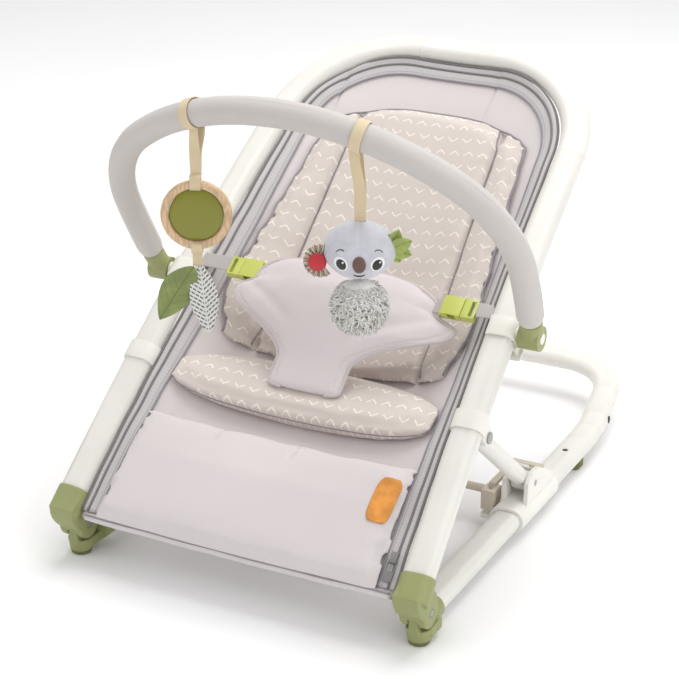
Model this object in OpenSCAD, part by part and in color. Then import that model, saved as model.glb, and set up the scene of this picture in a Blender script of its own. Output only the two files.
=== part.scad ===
// Bouncer seat: reclining tube frame, padded cover, newborn insert and toy arch.
// Millimetres. +X is the baby's left side, -Y the foot end, +Y the head end, +Z up.
// The origin is on the floor below the middle of the bounding box.

/* [Frame tubes] */
// Width of the flat-oval tube across its flat
tube_w = 34; // [30:0.5:36]
// Thickness of the flat-oval tube
tube_t = 22; // [18:0.5:24]
// Wall of the tubes
tube_wall = 1.6; // [1.2:0.1:2.5]
// Distance of each floor rail from the middle
rail_x = 203; // [195:1:210]
// Height of the floor rails' centre line
rail_z = 24; // [22:0.5:28]
// Slope of the raised rear bow of the floor frame
bow_slope = 8; // [4:0.5:10]
// Slope of the seat frame at its top, in degrees
seat_slope = 31.6; // [29:0.1:34]
// Inward lean of each seat frame leg
seat_lean = 2.2; // [1:0.1:3]

/* [Recline linkage] */
// Distance from the first lock hole to the second
lock_pitch = 84; // [80:0.5:88]
// Diameter of each strut
strut_d = 20; // [16:0.5:22]
// Width of the slot left open around the lower strut pin
strut_slot_w = 14.5; // [13.5:0.1:15]
// Length that the slot adds to that width
strut_slot_run = 6; // [5:0.5:7]
// Running clearance on the radius of a pivot
pivot_clear = 0.08; // [0.05:0.01:0.1]

/* [Soft parts] */
// Thickness of the padded seat cover
cover_t = 6; // [4:0.5:8]
// Filling height of the leg panel
leg_puff = 20; // [10:1:26]
// Filling height of the newborn insert's back
insert_puff = 18; // [10:1:24]
// Thickness of the lap pad
lap_t = 14; // [10:1:18]

/* [Toy arch] */
// Diameter of the padded arch
arch_d = 30; // [26:0.5:32]
// Lean of the arch from the floor, measured from the head end
arch_lean = 118.8; // [112:0.2:124]
// Outer diameter of the ring toy
ring_d = 77; // [70:1:80]
// Width of the plush head
head_w = 74; // [66:1:78]

/* [Hidden] */
$fn = 64;
// Gap left at each tube joint, closed by its bead.
trim = 0.15;
// Clear gap between the tubes and the cover's edge, for the clips round the tubes.
edge_gap = 3.6;
mid_y = 321.2;
// Seat frame: the corner of the right leg is the reference of the curve.
top_x = 190;
top_y = 430;
top_z = 402;
leg_l = 543;
bow_r = 3085;
corner_r = 143.3;
leg_arc = leg_l / bow_r * 180 / PI;
bar_half = top_x - corner_r * cos(seat_lean);
// Radius of the corners' inner edge.
in_r = corner_r - tube_w / 2;
// Front hinge of the seat frame.
hinge_y = -2;
hinge_z = 38;
pin_r = 4;
// Upper and lower strut pivots.
p_s = 177;
p_n = -25;
q_y = 290;
q_z = 55;
// Toy arch pivot station along the seat frame.
arch_s = 293;
arch_x = 233;
crown_r = 300;
crown_a = 38;
side_r = 146;
foot_r = 762;
foot_a = 8.3;
arch_h = 287;
bow_y = 470;
bow_r1 = 260;
bow_in = 9;
bow_in_r = 200;
bow_run = 62;
rear_r = 76;
lock_y1 = 342;
release_up = 4.2;
oval_t = 23;
face_turn = 26;

// ---------- helpers ----------

module stadium(w, t) {
  square([w - t, t], center = true);
  for (k = [-1, 1])
    translate([k * (w - t) / 2, 0])
      circle(d = t);
}

module tube_ring(w, t) {
  difference() {
    stadium(w, t);
    stadium(w - 2 * tube_wall, t - 2 * tube_wall);
  }
}

module tube_ring_side(w, t) {
  rotate([0, 0, 90])
    tube_ring(w, t);
}

// Low bead round a joint between two lengths of tube; local Y is along the tube.
module tube_bead() {
  rotate([90, 0, 0])
    linear_extrude(height = 1.6, center = true)
      difference() {
        stadium(tube_w + 0.3, tube_t + 0.3);
        stadium(tube_w - 2 * tube_wall - 0.3, tube_t - 2 * tube_wall - 0.3);
      }
}

// Arc about Z that stops short of both ends, so that a bead joins it to its neighbour.
module short_arc(r, a) {
  g = trim / r * 180 / PI;
  rotate([0, 0, g])
    rotate_extrude(angle = a - 2 * g)
      translate([r, 0])
        children();
}

// Cylinder along X, centred on the origin.
module xcyl(r, h) {
  rotate([0, 90, 0])
    cylinder(r = r, h = h, center = true);
}

// A prism along X, from a profile drawn in the YZ plane.
module xprism(w) {
  rotate([90, 0, 90])
    linear_extrude(height = w, center = true)
      children();
}

// Everything is drawn with the hinge end near Y = 0 and moved to the middle at the end.
module place() {
  translate([0, -mid_y, 0])
    children();
}

module mirrored(side) {
  if (side > 0) children();
  if (side < 0) mirror([1, 0, 0]) children();
}

// Angle of the seat curve below the corner, at distance s from its lower end.
function turn(s) = max(leg_l - s, 0) / bow_r * 180 / PI;
// Along-slope and normal coordinates of a point at (s, n) in the top frame.
function along(s, n) = -(bow_r + n) * sin(turn(s)) + max(s - leg_l, 0);
function above(s, n) = -bow_r + (bow_r + n) * cos(turn(s));
function seat_pt(x, s, n) = [
  x,
  top_y + along(s, n) * cos(seat_slope) - above(s, n) * sin(seat_slope),
  top_z + along(s, n) * sin(seat_slope) + above(s, n) * cos(seat_slope)
];
// Slope of the seat frame at s, in degrees.
function slope(s) = seat_slope + turn(s);
// Centre line of the right leg.
function leg_x(s) = top_x + sin(seat_lean) * (leg_l - s);
// Half of the clear width between the tubes.
function inner(s) =
  s <= leg_l ? leg_x(s) - tube_w / 2
  : bar_half + sqrt(max(pow(in_r, 2) - pow(s - leg_l + corner_r * sin(seat_lean), 2), 0));

module at_seat(x, s, n) {
  translate(seat_pt(x, s, n))
    rotate([slope(s), 0, 0])
      children();
}

// Frame of the toy arch: local XY is the plane of the arch.
arch_o = seat_pt(0, arch_s, 0);
module at_arch() {
  translate([0, arch_o[1], arch_o[2]])
    rotate([arch_lean, 0, 0])
      children();
}
function crown_pt(x) = [x, arch_h - crown_r * (1 - cos(asin(x / crown_r)))];
function arch_world(x) = [
  x,
  arch_o[1] + crown_pt(x)[1] * cos(arch_lean),
  arch_o[2] + crown_pt(x)[1] * sin(arch_lean)
];

// Closed solid between two grids of points.
function flat1(g) = [for (r = g) for (p = r) p];
module grid_solid(top, bot) {
  nr = len(top);
  nc = len(top[0]);
  m = nr * nc;
  idx = function (i, j) i * nc + j;
  polyhedron(
    points = concat(flat1(top), flat1(bot)),
    faces = concat(
      [for (i = [0:nr - 2]) for (j = [0:nc - 2]) [idx(i, j), idx(i + 1, j), idx(i + 1, j + 1)]],
      [for (i = [0:nr - 2]) for (j = [0:nc - 2]) [idx(i, j), idx(i + 1, j + 1), idx(i, j + 1)]],
      [for (i = [0:nr - 2]) for (j = [0:nc - 2]) [m + idx(i, j), m + idx(i + 1, j + 1), m + idx(i + 1, j)]],
      [for (i = [0:nr - 2]) for (j = [0:nc - 2]) [m + idx(i, j), m + idx(i, j + 1), m + idx(i + 1, j + 1)]],
      [for (i = [0:nr - 2]) [idx(i, 0), m + idx(i, 0), m + idx(i + 1, 0)]],
      [for (i = [0:nr - 2]) [idx(i, 0), m + idx(i + 1, 0), idx(i + 1, 0)]],
      [for (i = [0:nr - 2]) [idx(i, nc - 1), m + idx(i + 1, nc - 1), m + idx(i, nc - 1)]],
      [for (i = [0:nr - 2]) [idx(i, nc - 1), idx(i + 1, nc - 1), m + idx(i + 1, nc - 1)]],
      [for (j = [0:nc - 2]) [idx(0, j), m + idx(0, j + 1), m + idx(0, j)]],
      [for (j = [0:nc - 2]) [idx(0, j), idx(0, j + 1), m + idx(0, j + 1)]],
      [for (j = [0:nc - 2]) [idx(nr - 1, j), m + idx(nr - 1, j), m + idx(nr - 1, j + 1)]],
      [for (j = [0:nc - 2]) [idx(nr - 1, j), m + idx(nr - 1, j + 1), idx(nr - 1, j + 1)]]
    )
  );
}

// Depth of the cover's middle below the plane of the tubes.
sag_line = [[-26, 6], [60, 10], [110, 28], [140, 36], [180, 54], [240, 76], [300, 82],
            [370, 76], [480, 52], [600, 22], [664, 6]];
function cover_n(x, s) = -lookup(s, sag_line) * (1 - pow(min(abs(x) / inner(s), 1), 2.4));
function spread(a, b, n) = [for (i = [0:n]) a + (b - a) * i / n];
// Outline rows of the cover: even steps on the legs, sine steps in the head corners.
cover_s = concat(spread(-26, leg_l, 16),
  [for (a = [15:15:90]) leg_l + in_r * sin(a) - corner_r * sin(seat_lean)]);

// ---------- floor frame ----------

module rail_half() {
  translate([rail_x, 19.5, rail_z])
    rotate([-90, 0, 0])
      linear_extrude(height = bow_y - 19.5 - trim)
        tube_ring(tube_w, tube_t);
  translate([rail_x, bow_y, rail_z])
    tube_bead();
  translate([rail_x, bow_y, rail_z + bow_r1])
    rotate([0, 90, 0])
      short_arc(bow_r1, bow_slope)
        tube_ring_side(tube_w, tube_t);
  at_bow() {
    translate([rail_x, 0, 0])
      tube_bead();
    translate([rail_x - bow_in_r, 0, 0])
      short_arc(bow_in_r, bow_in)
        tube_ring(tube_w, tube_t);
    translate([bow_x1, bow_y1, 0])
      rotate([0, 0, bow_in]) {
        tube_bead();
        translate([0, trim, 0])
          rotate([-90, 0, 0])
            linear_extrude(height = bow_run - 2 * trim)
              tube_ring(tube_w, tube_t);
        translate([0, bow_run, 0])
          tube_bead();
      }
    translate([rear_cx, bow_y2 - rear_r * sin(bow_in), 0])
      rotate([0, 0, bow_in])
        short_arc(rear_r, 90 - bow_in)
          tube_ring(tube_w, tube_t);
    translate([rear_cx, bow_y3, 0])
      rotate([0, 0, 90])
        tube_bead();
  }
}
// The straight bar across the rear.
module rear_bar() {
  at_bow()
    translate([0, bow_y3, 0])
      rotate([0, 90, 0])
        rotate([0, 0, 90])
          linear_extrude(height = 2 * (rear_cx - trim), center = true)
            tube_ring(tube_w, tube_t);
}
bow_x1 = rail_x - bow_in_r * (1 - cos(bow_in));
bow_y1 = bow_in_r * sin(bow_in);
bow_x2 = bow_x1 - bow_run * sin(bow_in);
bow_y2 = bow_y1 + bow_run * cos(bow_in);
bow_y3 = bow_y2 + rear_r * (1 - sin(bow_in));
rear_cx = bow_x2 - rear_r * cos(bow_in);
bow_wy = bow_y + bow_r1 * sin(bow_slope);
bow_wz = rail_z + bow_r1 * (1 - cos(bow_slope));
module at_bow() {
  translate([0, bow_wy, bow_wz])
    rotate([bow_slope, 0, 0])
      children();
}
// Axis of the plug in the outer side of each rail.
module at_plug() {
  at_bow()
    translate([bow_x1, bow_y1, 0])
      rotate([0, 0, bow_in])
        rotate([0, 90, 0])
          children();
}

module base_tube() {
  color("#e4e2dc")
    place()
      difference() {
        union() {
          rail_half();
          mirror([1, 0, 0]) rail_half();
          rear_bar();
        }
        for (k = [-1, 1])
          for (y = [lock_y1, lock_y1 + lock_pitch])
            translate([k * rail_x, y, rail_z + tube_t / 2 - 4])
              cylinder(d = 7.4, h = 8);
        for (k = [-1, 1])
          mirrored(k)
            at_plug()
              translate([0, 0, tube_w / 2 - 0.9])
                cylinder(r = 4.6, h = 6);
      }
}

module rail_plugs() {
  color("#4a4844")
    place()
      for (k = [-1, 1])
        mirrored(k)
          at_plug()
            translate([0, 0, tube_w / 2 - 0.9])
              cylinder(r = 4.5, h = 1.9);
}

// Foot: round stub, tongue inside the elbow and cup round the end of the rail.
module foot_socket(side) {
  color("#a8b074")
    place()
      mirrored(side)
        difference() {
          union() {
            translate([leg_x(0) - 1, 0, 4])
              cylinder(r1 = 12.5, r2 = 14.5, h = 15);
            translate([leg_x(0) - 1 - 15, -1, 8])
              cube([30, 26, 12]);
            translate([rail_x, 16.5, rail_z])
              rotate([-90, 0, 0])
                linear_extrude(height = 20)
                  stadium(tube_w + 5, tube_t + 5);
            translate([leg_x(0) - 1, hinge_y, hinge_z])
              xcyl(15, 11.4);
            translate([leg_x(0) - 1 - 5.7, hinge_y - 13, 14])
              cube([11.4, 25.5, 22]);
          }
          for (k = [-1, 1])
            translate([leg_x(0) - 1 + k * (6 + 15), hinge_y, hinge_z])
              xcyl(18, 30.4);
          translate([rail_x, 19.5, rail_z])
            rotate([-90, 0, 0])
              linear_extrude(height = 30)
                stadium(tube_w + 0.2, tube_t + 0.2);
          translate([leg_x(0) - 1, hinge_y, hinge_z])
            xcyl(pin_r, 40);
        }
}
module foot_socket_left() { foot_socket(-1); }
module foot_socket_right() { foot_socket(1); }

module foot_pads() {
  color("#5c5c40")
    place()
      for (k = [-1, 1])
        translate([k * (leg_x(0) - 1), 0, 0])
          cylinder(r1 = 11, r2 = 12.4, h = 4);
}

module hinge_pins() {
  color("#b8b8b4")
    place()
      for (k = [-1, 1])
        translate([k * (leg_x(0) - 1), hinge_y, hinge_z])
          xcyl(pin_r, 30);
}

module rear_pads() {
  color("#8c8a84")
    place()
      for (k = [-1, 1])
        translate([k * rail_x, 458, 0])
          linear_extrude(height = rail_z - tube_t / 2 - 0.2)
            rotate([0, 0, 90])
              stadium(30, 20);
}

// ---------- seat frame ----------

module seat_half() {
  translate([top_x, 0, 0])
    rotate([0, 0, seat_lean])
      translate([0, 0, -bow_r])
        rotate([0, -90, 0])
          rotate([0, 0, -leg_arc - 0.42])
            short_arc(bow_r, leg_arc + 0.42)
              tube_ring_side(tube_w, tube_t);
  translate([top_x, 0, 0])
    rotate([0, 0, seat_lean])
      tube_bead();
  translate([bar_half, -corner_r * sin(seat_lean), 0])
    rotate([0, 0, seat_lean])
      short_arc(corner_r, 90 - seat_lean)
        tube_ring(tube_w, tube_t);
  translate([bar_half, corner_r * (1 - sin(seat_lean)), 0])
    rotate([0, 0, 90])
      tube_bead();
}
module head_bar() {
  translate([0, corner_r * (1 - sin(seat_lean)), 0])
    rotate([0, 90, 0])
      rotate([0, 0, 90])
        linear_extrude(height = 2 * (bar_half - trim), center = true)
          tube_ring(tube_w, tube_t);
}

module seat_tube() {
  color("#e4e2dc")
    place()
      translate([0, top_y, top_z])
        rotate([seat_slope, 0, 0]) {
          seat_half();
          mirror([1, 0, 0]) seat_half();
          head_bar();
        }
}

// Elbow: socket on the end of the seat tube, curved limb and slotted hinge boss.
module elbow(side) {
  ex = leg_x(0) - 1;
  color("#a8b074")
    place()
      mirrored(side)
        difference() {
          union() {
            at_seat(leg_x(0), 0, 0)
              rotate([0, 0, seat_lean])
                translate([0, 1, 0])
                  rotate([90, 0, 0])
                    linear_extrude(height = 30)
                      stadium(tube_w + 4, tube_t + 4);
            translate([ex, 0, 0])
              xprism(30)
                elbow_side();
            translate([ex, hinge_y, hinge_z])
              xcyl(17, 30);
          }
          at_seat(leg_x(0), 0, 0)
            rotate([0, 0, seat_lean])
              translate([0, 30, 0])
                rotate([90, 0, 0])
                  linear_extrude(height = 54)
                    stadium(tube_w + 0.2, tube_t + 0.2);
          translate([ex, 0, 0])
            xprism(12)
              elbow_slot();
          translate([ex, hinge_y, hinge_z])
            xcyl(pin_r + pivot_clear, 40);
        }
}
// Side view of the limb, in the YZ plane.
module elbow_side() {
  polygon([[-36, 68], [-35.5, 60], [-33, 53], [-28, 45.5], [-22, 39.5], [-17, 35], [hinge_y, 31],
           [14.4, 39], [13.6, 47], [10, 56], [4, 63], [-2, 69], [-14, 80]]);
}
module elbow_slot() {
  translate([hinge_y, hinge_z])
    circle(r = 16);
  translate([hinge_y - 16, 0])
    square([60, hinge_z]);
}
module elbow_left() { elbow(-1); }
module elbow_right() { elbow(1); }

// Bands round the seat tube with the forks that hold the struts.
module strut_brackets() {
  color("#eceae4")
    place()
      for (k = [-1, 1])
        mirrored(k)
          at_seat(leg_x(p_s), p_s, 0)
            difference() {
              union() {
                rotate([0, 0, seat_lean])
                  translate([0, 11, 0])
                    rotate([90, 0, 0])
                      linear_extrude(height = 22)
                        stadium(tube_w + 5, tube_t + 5);
                for (j = [-1, 1])
                  translate([j * 13.5, 0, 0])
                    xprism(4)
                      fork_side();
              }
              rotate([0, 0, seat_lean])
                translate([0, 20, 0])
                  rotate([90, 0, 0])
                    linear_extrude(height = 40)
                      stadium(tube_w + 0.1, tube_t + 0.1);
              translate([0, 0, p_n])
                xcyl(pin_r, 60);
            }
}
module fork_side() {
  translate([0, p_n])
    circle(r = 9.5);
  translate([-9.5, p_n])
    square([19, 16]);
}

module strut_bolts() {
  color("#b8b8b4")
    place()
      for (k = [-1, 1])
        mirrored(k)
          at_seat(leg_x(p_s), p_s, p_n) {
            xcyl(pin_r - 0.01, 31);
            for (j = [-1, 1])
              translate([j * 16.6, 0, 0])
                xcyl(6.5, 2);
          }
}

// Clip round the seat tube with a stub that carries the toy arch.
module arch_clamp(side) {
  color("#a8b074")
    place()
      mirrored(side)
        difference() {
          union() {
            at_seat(leg_x(arch_s), arch_s, 0)
              rotate([0, 0, seat_lean])
                translate([0, 12, 0])
                  rotate([90, 0, 0])
                    linear_extrude(height = 24)
                      difference() {
                        stadium(tube_w + 6, tube_t + 6);
                        stadium(tube_w + 0.2, tube_t + 0.2);
                        translate([-34, -40])
                          square([20, 80]);
                      }
            translate([0, arch_o[1], arch_o[2]]) {
              translate([leg_x(arch_s) + 18.9, 0, 0])
                xcyl(9, 3.6);
              translate([arch_x - 1, 0, 0])
                xcyl(6, 28);
            }
            // Thumb tab of the clip, below the tube.
            at_seat(leg_x(arch_s) + 16, arch_s - 14, -19)
              cube([14, 14, 3], center = true);
            at_seat(leg_x(arch_s) + 18, arch_s - 10, -12)
              cube([3, 12, 14], center = true);
          }
          at_seat(leg_x(arch_s), arch_s, 0)
            rotate([0, 0, seat_lean])
              translate([0, 40, 0])
                rotate([90, 0, 0])
                  linear_extrude(height = 80)
                    stadium(tube_w + 0.2, tube_t + 0.2);
        }
}
module arch_clamp_left() { arch_clamp(-1); }
module arch_clamp_right() { arch_clamp(1); }

// ---------- cover and pads ----------

module seat_cover() {
  cols = spread(-1, 1, 14);
  color("#d7d0d0")
    place()
      grid_solid(
        [for (s = cover_s) [for (u = cols)
          seat_pt(u * (inner(s) - edge_gap), s, cover_n(u * (inner(s) - edge_gap), s))]],
        [for (s = cover_s) [for (u = cols)
          seat_pt(u * (inner(s) - edge_gap), s, cover_n(u * (inner(s) - edge_gap), s) - cover_t)]]
      );
}

function leg_half(s) = inner(s) - 25;
function leg_rise(u, v) = 1.8 + leg_puff * dome(u, 4) * dome(v, 4);
module leg_panel() {
  cols = spread(-1, 1, 14);
  rows = spread(-1, 1, 10);
  color("#d7d0d0")
    place()
      grid_solid(
        [for (v = rows) let (s = 45 + 69 * v) [for (u = cols)
          seat_pt(u * leg_half(s), s, cover_n(u * leg_half(s), s) + leg_rise(u, v))]],
        [for (v = rows) let (s = 45 + 69 * v) [for (u = cols)
          seat_pt(u * leg_half(s), s, cover_n(u * leg_half(s), s) + 1)]]
      );
}

// Zip tape: a strip just inside the tubes, from the right end round the head to the left end.
zip_s = concat(spread(-14, leg_l, 14),
  [for (a = [15:15:90]) leg_l + in_r * sin(a) - corner_r * sin(seat_lean)]);
function zip_row(s, k, up) =
  let (a = s <= leg_l ? 0 : asin(min((s - leg_l + corner_r * sin(seat_lean)) / in_r, 1)),
       x1 = inner(s) - 4, x2 = s <= leg_l ? x1 - 19 : x1 - 19 * cos(a),
       s2 = s <= leg_l ? s : s - 19 * sin(a))
  [seat_pt(k * x2, s2, cover_n(x2, s2) + 1.2 + up), seat_pt(k * x1, s, cover_n(x1, s) + 1.2 + up)];
module zip_tape() {
  up = [for (s = zip_s) zip_row(s, 1, 1)];
  dn = [for (s = zip_s) zip_row(s, 1, 0)];
  nz = len(zip_s);
  lu = [for (i = [nz - 1:-1:0]) zip_row(zip_s[i], -1, 1)];
  ld = [for (i = [nz - 1:-1:0]) zip_row(zip_s[i], -1, 0)];
  color("#c8c4c8")
    place()
      grid_solid(concat(up, lu), concat(dn, ld));
}

// Newborn insert, back: a centre lobe and two side lobes over two channels.
function ins_half(s) =
  s < 296 ? 167 - 0.25 * (296 - s)
  : s < 545 ? 167 - 34 * (s - 296) / 249
  : 133 * sqrt(max(1 - pow((s - 545) / 50, 2), 0.02));
function ins_end(s) = sqrt(max(1 - pow(abs(s - 415) / 180, 6), 0));
function dome(u, p) = sqrt(max(1 - pow(abs(u), p), 0));
function lobe(x, w) =
  abs(x) < 96 ? dome(x / 96, 4)
  : 0.8 * dome(2 * (abs(x) - (96 + w) / 2) / max(w - 96, 8), 4);
module insert_back() {
  cols = spread(-1, 1, 28);
  rows = concat(spread(236, 545, 12), [for (a = [20:20:80]) 545 + 50 * sin(a)], [594]);
  color("#d6ccc6")
    place()
      grid_solid(
        [for (s = rows) [for (u = cols) let (w = ins_half(s), x = u * w)
          seat_pt(x, s, cover_n(x, s) + 5 + insert_puff * lobe(x, w) * ins_end(s))]],
        [for (s = rows) [for (u = cols) let (w = ins_half(s), x = u * w)
          seat_pt(x, s, cover_n(x, s) + 2.8)]]
      );
}

// Newborn insert, seat: oval cushion that lies across the seat, high at its front and its two ends.
function oval_front(x) = 172 - 27 * sqrt(1 - pow(abs(x) / 169, 4));
function oval_rear(x) = 172 + 50 * pow(1 - pow(abs(x) / 169, 2.3), 1 / 2.3);
function oval_mid(x, s) = 6 - 0.3 * (s - 171) - 20 * (1 - pow(x / 168, 2)) - oval_t / 2;
function oval_rim(u, v) = dome(u, 6) * dome(2 * v - 1, 6);
module insert_cushion() {
  cols = [for (a = [-78:12:78]) sin(a) / sin(78)];
  rows = [for (a = [-90:20:90]) 0.5 + 0.5 * sin(a)];
  color("#cfc4be")
    place()
      grid_solid(
        [for (v = rows) [for (u = cols)
          let (x = 166 * u, s = oval_front(x) * (1 - v) + oval_rear(x) * v, m = oval_mid(x, s))
          seat_pt(x, s, m + 1 + (oval_t / 2 - 1) * oval_rim(u, v))]],
        [for (v = rows) [for (u = cols)
          let (x = 166 * u, s = oval_front(x) * (1 - v) + oval_rear(x) * v, m = oval_mid(x, s))
          seat_pt(x, s, max(cover_n(x, s) + 3.4, m - 1 - (oval_t / 2 + 9) * oval_rim(u, v)))]]
      );
}

// Lap pad: narrow between the legs, wide across the waist.
function smooth(t) = let (c = min(max(t, 0), 1)) c * c * (3 - 2 * c);
function lap_half(v) = 45 + 92 * smooth((v - 0.22) / 0.5) - 26 * smooth((v - 0.74) / 0.08)
  - 16 * smooth((v - 0.88) / 0.12);
function lap_x(u, v) = u * lap_half(v) + 12 * smooth(v / 0.7);
function lap_s(v) = 178 + 140 * v;
function lap_mid(v) = -9 + 43 * smooth(v / 0.8);
function lap_n(x, v) =
  lap_mid(v) - (lap_mid(v) - 5) * min(pow(abs(x) / 130, 2), 1.2) * smooth((v - 0.1) / 0.3);
function lap_crown(u, v) = (lap_t - 4) * dome(u, 4) * dome(2 * v - 1, 6);
module lap_pad() {
  cols = spread(-1, 1, 16);
  rows = [0, 0.1, 0.2, 0.28, 0.36, 0.44, 0.52, 0.6, 0.68, 0.74, 0.82, 0.9, 0.96, 1];
  color("#d2cace")
    place()
      grid_solid(
        [for (v = rows) [for (u = cols) let (x = lap_x(u, v))
          seat_pt(x, lap_s(v), lap_n(x, v) + 2 + lap_crown(u, v))]],
        [for (v = rows) [for (u = cols) let (x = lap_x(u, v))
          seat_pt(x, lap_s(v), lap_n(x, v) - 2)]]
      );
}

module label_patch() {
  cols = spread(-1, 1, 6);
  rows = spread(-1, 1, 8);
  color("#de963c")
    place()
      grid_solid(
        [for (v = rows) [for (u = cols) let (x = 150 + 14 * u * sqrt(1 - 0.5 * pow(v, 6)), s = 67 + 27 * v)
          seat_pt(x, s, label_n(x, s) + 1.8)]],
        [for (v = rows) [for (u = cols) let (x = 150 + 14 * u * sqrt(1 - 0.5 * pow(v, 6)), s = 67 + 27 * v)
          seat_pt(x, s, label_n(x, s) + 0.3)]]
      );
}
function label_n(x, s) = cover_n(x, s) + leg_rise(x / leg_half(s), (s - 45) / 69);

// ---------- waist buckles ----------

bk_s = 304;
bk_off = 14;
bk_n = 12;
module buckle_socket(side) {
  color("#cdd878")
    place()
      mirrored(side)
        at_seat(side * bk_off, bk_s, bk_n)
          difference() {
            translate([114, -12, -5])
              cube([24, 24, 10]);
            translate([118, -10, -3])
              cube([30, 20, 6]);
            for (j = [-1, 1])
              translate([123, j * 11 - 3, -4])
                cube([9, 6, 8]);
          }
}
module buckle_socket_left() { buckle_socket(-1); }
module buckle_socket_right() { buckle_socket(1); }

module buckle_plug(side) {
  color("#cdd878")
    place()
      mirrored(side)
        at_seat(side * bk_off, bk_s, bk_n) {
          difference() {
            translate([138.4, -12, -4.5])
              cube([16, 24, 9]);
            translate([147, -9.5, -10])
              cube([4.5, 19, 20]);
          }
          translate([125, -1.5, -2])
            cube([14, 3, 4]);
          for (j = [-1, 1])
            translate([125, j * 7.5 - 1.5, -2])
              cube([14, 3, 4]);
        }
}
module buckle_plug_left() { buckle_plug(-1); }
module buckle_plug_right() { buckle_plug(1); }

function web_pt(t, v, up, o) = seat_pt(155 + o + (27 - o) * t, bk_s + v + 8 * t, 14 - 10 * smooth(t) + up);
module webbing(side) {
  ks = spread(0, 1, 8);
  color("#beb8b4")
    place()
      mirrored(side)
        grid_solid(
          [for (v = [-9, 9]) [for (t = ks) web_pt(t, v, 1.6, side * bk_off)]],
          [for (v = [-9, 9]) [for (t = ks) web_pt(t, v, 0, side * bk_off)]]
        );
}
module webbing_left() { webbing(-1); }
module webbing_right() { webbing(1); }

// ---------- zip ----------

zip_x = inner(12) - 13.5;
module zip_slider() {
  color("#a8a6a4")
    place()
      at_seat(zip_x, 12, cover_n(zip_x, 12) + 1)
        difference() {
          translate([-4, -6, 1.9])
            cube([8, 12, 4.6]);
          translate([0, -3, 4.6])
            xcyl(0.9, 12);
        }
}
module zip_pull() {
  color("#bcb8b8")
    place()
      at_seat(zip_x, 12, cover_n(zip_x, 12) + 1) {
        translate([0, -3, 4.6])
          xcyl(0.85, 10);
        for (j = [-1, 1])
          translate([j * 4.7 - 0.6, -16, 3.9])
            cube([1.2, 14, 1.4]);
        translate([-5.3, -26, 3.9])
          cube([10.6, 11, 1.4]);
      }
}

// ---------- struts and slider ----------

strut_x = leg_x(p_s) - 0.5;
p_pt = seat_pt(0, p_s, p_n);
strut_l = sqrt(pow(q_y - p_pt[1], 2) + pow(q_z - p_pt[2], 2));
strut_a = atan2(q_z - p_pt[2], q_y - p_pt[1]);
module strut(side) {
  color("#e4e2dc")
    place()
      mirrored(side)
        translate([strut_x, p_pt[1], p_pt[2]])
          rotate([strut_a, 0, 0])
            difference() {
              union() {
                translate([0, 7, 0])
                  rotate([-90, 0, 0])
                    cylinder(d = strut_d, h = strut_l - 18);
                xcyl(9, 19);
                translate([0, strut_l, 0])
                  xprism(19)
                    stadium(strut_slot_w + 7 + strut_slot_run, strut_slot_w + 7);
              }
              translate([0, 12, 0])
                rotate([-90, 0, 0])
                  cylinder(d = strut_d - 3, h = strut_l - 32);
              xcyl(pin_r + pivot_clear, 40);
              translate([0, strut_l, 0])
                xprism(40)
                  stadium(strut_slot_w + strut_slot_run, strut_slot_w);
            }
}
module strut_left() { strut(-1); }
module strut_right() { strut(1); }

// Sleeve on the floor rail with the cheeks that take the strut's lower eye.
module sleeve(side) {
  color("#eceae4")
    place()
      mirrored(side)
        difference() {
          union() {
            translate([rail_x, 244, rail_z])
              rotate([-90, 0, 0])
                linear_extrude(height = 108)
                  stadium(tube_w + 8, tube_t + 8);
            for (j = [-1, 1])
              translate([rail_x + j * 13.5, 0, 0])
                xprism(5)
                  cheek_side();
            translate([rail_x, 0, 0])
              xprism(32)
                polygon([[317, 36], [317, 58], [346, 44], [348, 36]]);
            // Shelf and post that guide the release block.
            translate([rail_x - 39, 261, 11.5])
              cube([22, 20, 5]);
            translate([rail_x - 31, 270, 12])
              cylinder(r = 2.5, h = 26);
          }
          translate([rail_x, 230, rail_z])
            rotate([-90, 0, 0])
              linear_extrude(height = 140)
                stadium(tube_w + 0.8, tube_t + 0.8);
          translate([rail_x, q_y, q_z])
            xcyl(pin_r, 60);
          translate([rail_x, lock_y1, 30])
            cylinder(d = 7.4, h = 40);
          translate([rail_x - 24, lock_y1 - 5, 38])
            cube([30, 10, 16]);
          // Seat of the crossbar.
          translate([rail_x - 30, q_y, 33])
            xcyl(5, 26);
        }
}
module cheek_side() {
  polygon([[266, 36], [268, 62], [280, 72], [300, 71], [346, 46], [348, 36]]);
}
module sleeve_left() { sleeve(-1); }
module sleeve_right() { sleeve(1); }

module crossbar() {
  color("#e4e2dc")
    place()
      translate([0, q_y, 33]) {
        xcyl(4.9, 2 * (rail_x - 17.8));
        for (k = [-1, 1])
          translate([k * (rail_x - 27.5), 0, 0])
            xcyl(8, 8);
      }
}

module slider_pins() {
  color("#b8b8b4")
    place()
      for (k = [-1, 1])
        translate([k * rail_x, q_y, q_z])
          xcyl(pin_r - 0.01, 32);
}

// Push-up block on the inner side of each sleeve, joined to the lock pin. Both are drawn as they
// ride while the sleeves slide, release_up over the locked place.
module release_block(side) {
  color("#c8beae")
    place()
      translate([0, 0, release_up])
      mirrored(side) {
        difference() {
          translate([rail_x - 39, 261, 18])
            cube([16, 20.5, 24]);
          translate([rail_x - 31, 270, 0])
            cylinder(r = 2.5 + pivot_clear, h = 60);
        }
        translate([rail_x - 35, 281.5, 42.2])
          cube([8, lock_y1 - 277.5, 5]);
        translate([rail_x - 35, lock_y1 - 4, 42.2])
          cube([39, 8, 5]);
        translate([rail_x - 35, 274, 40])
          cube([8, 10, 7.2]);
      }
}
module release_block_left() { release_block(-1); }
module release_block_right() { release_block(1); }

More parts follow.
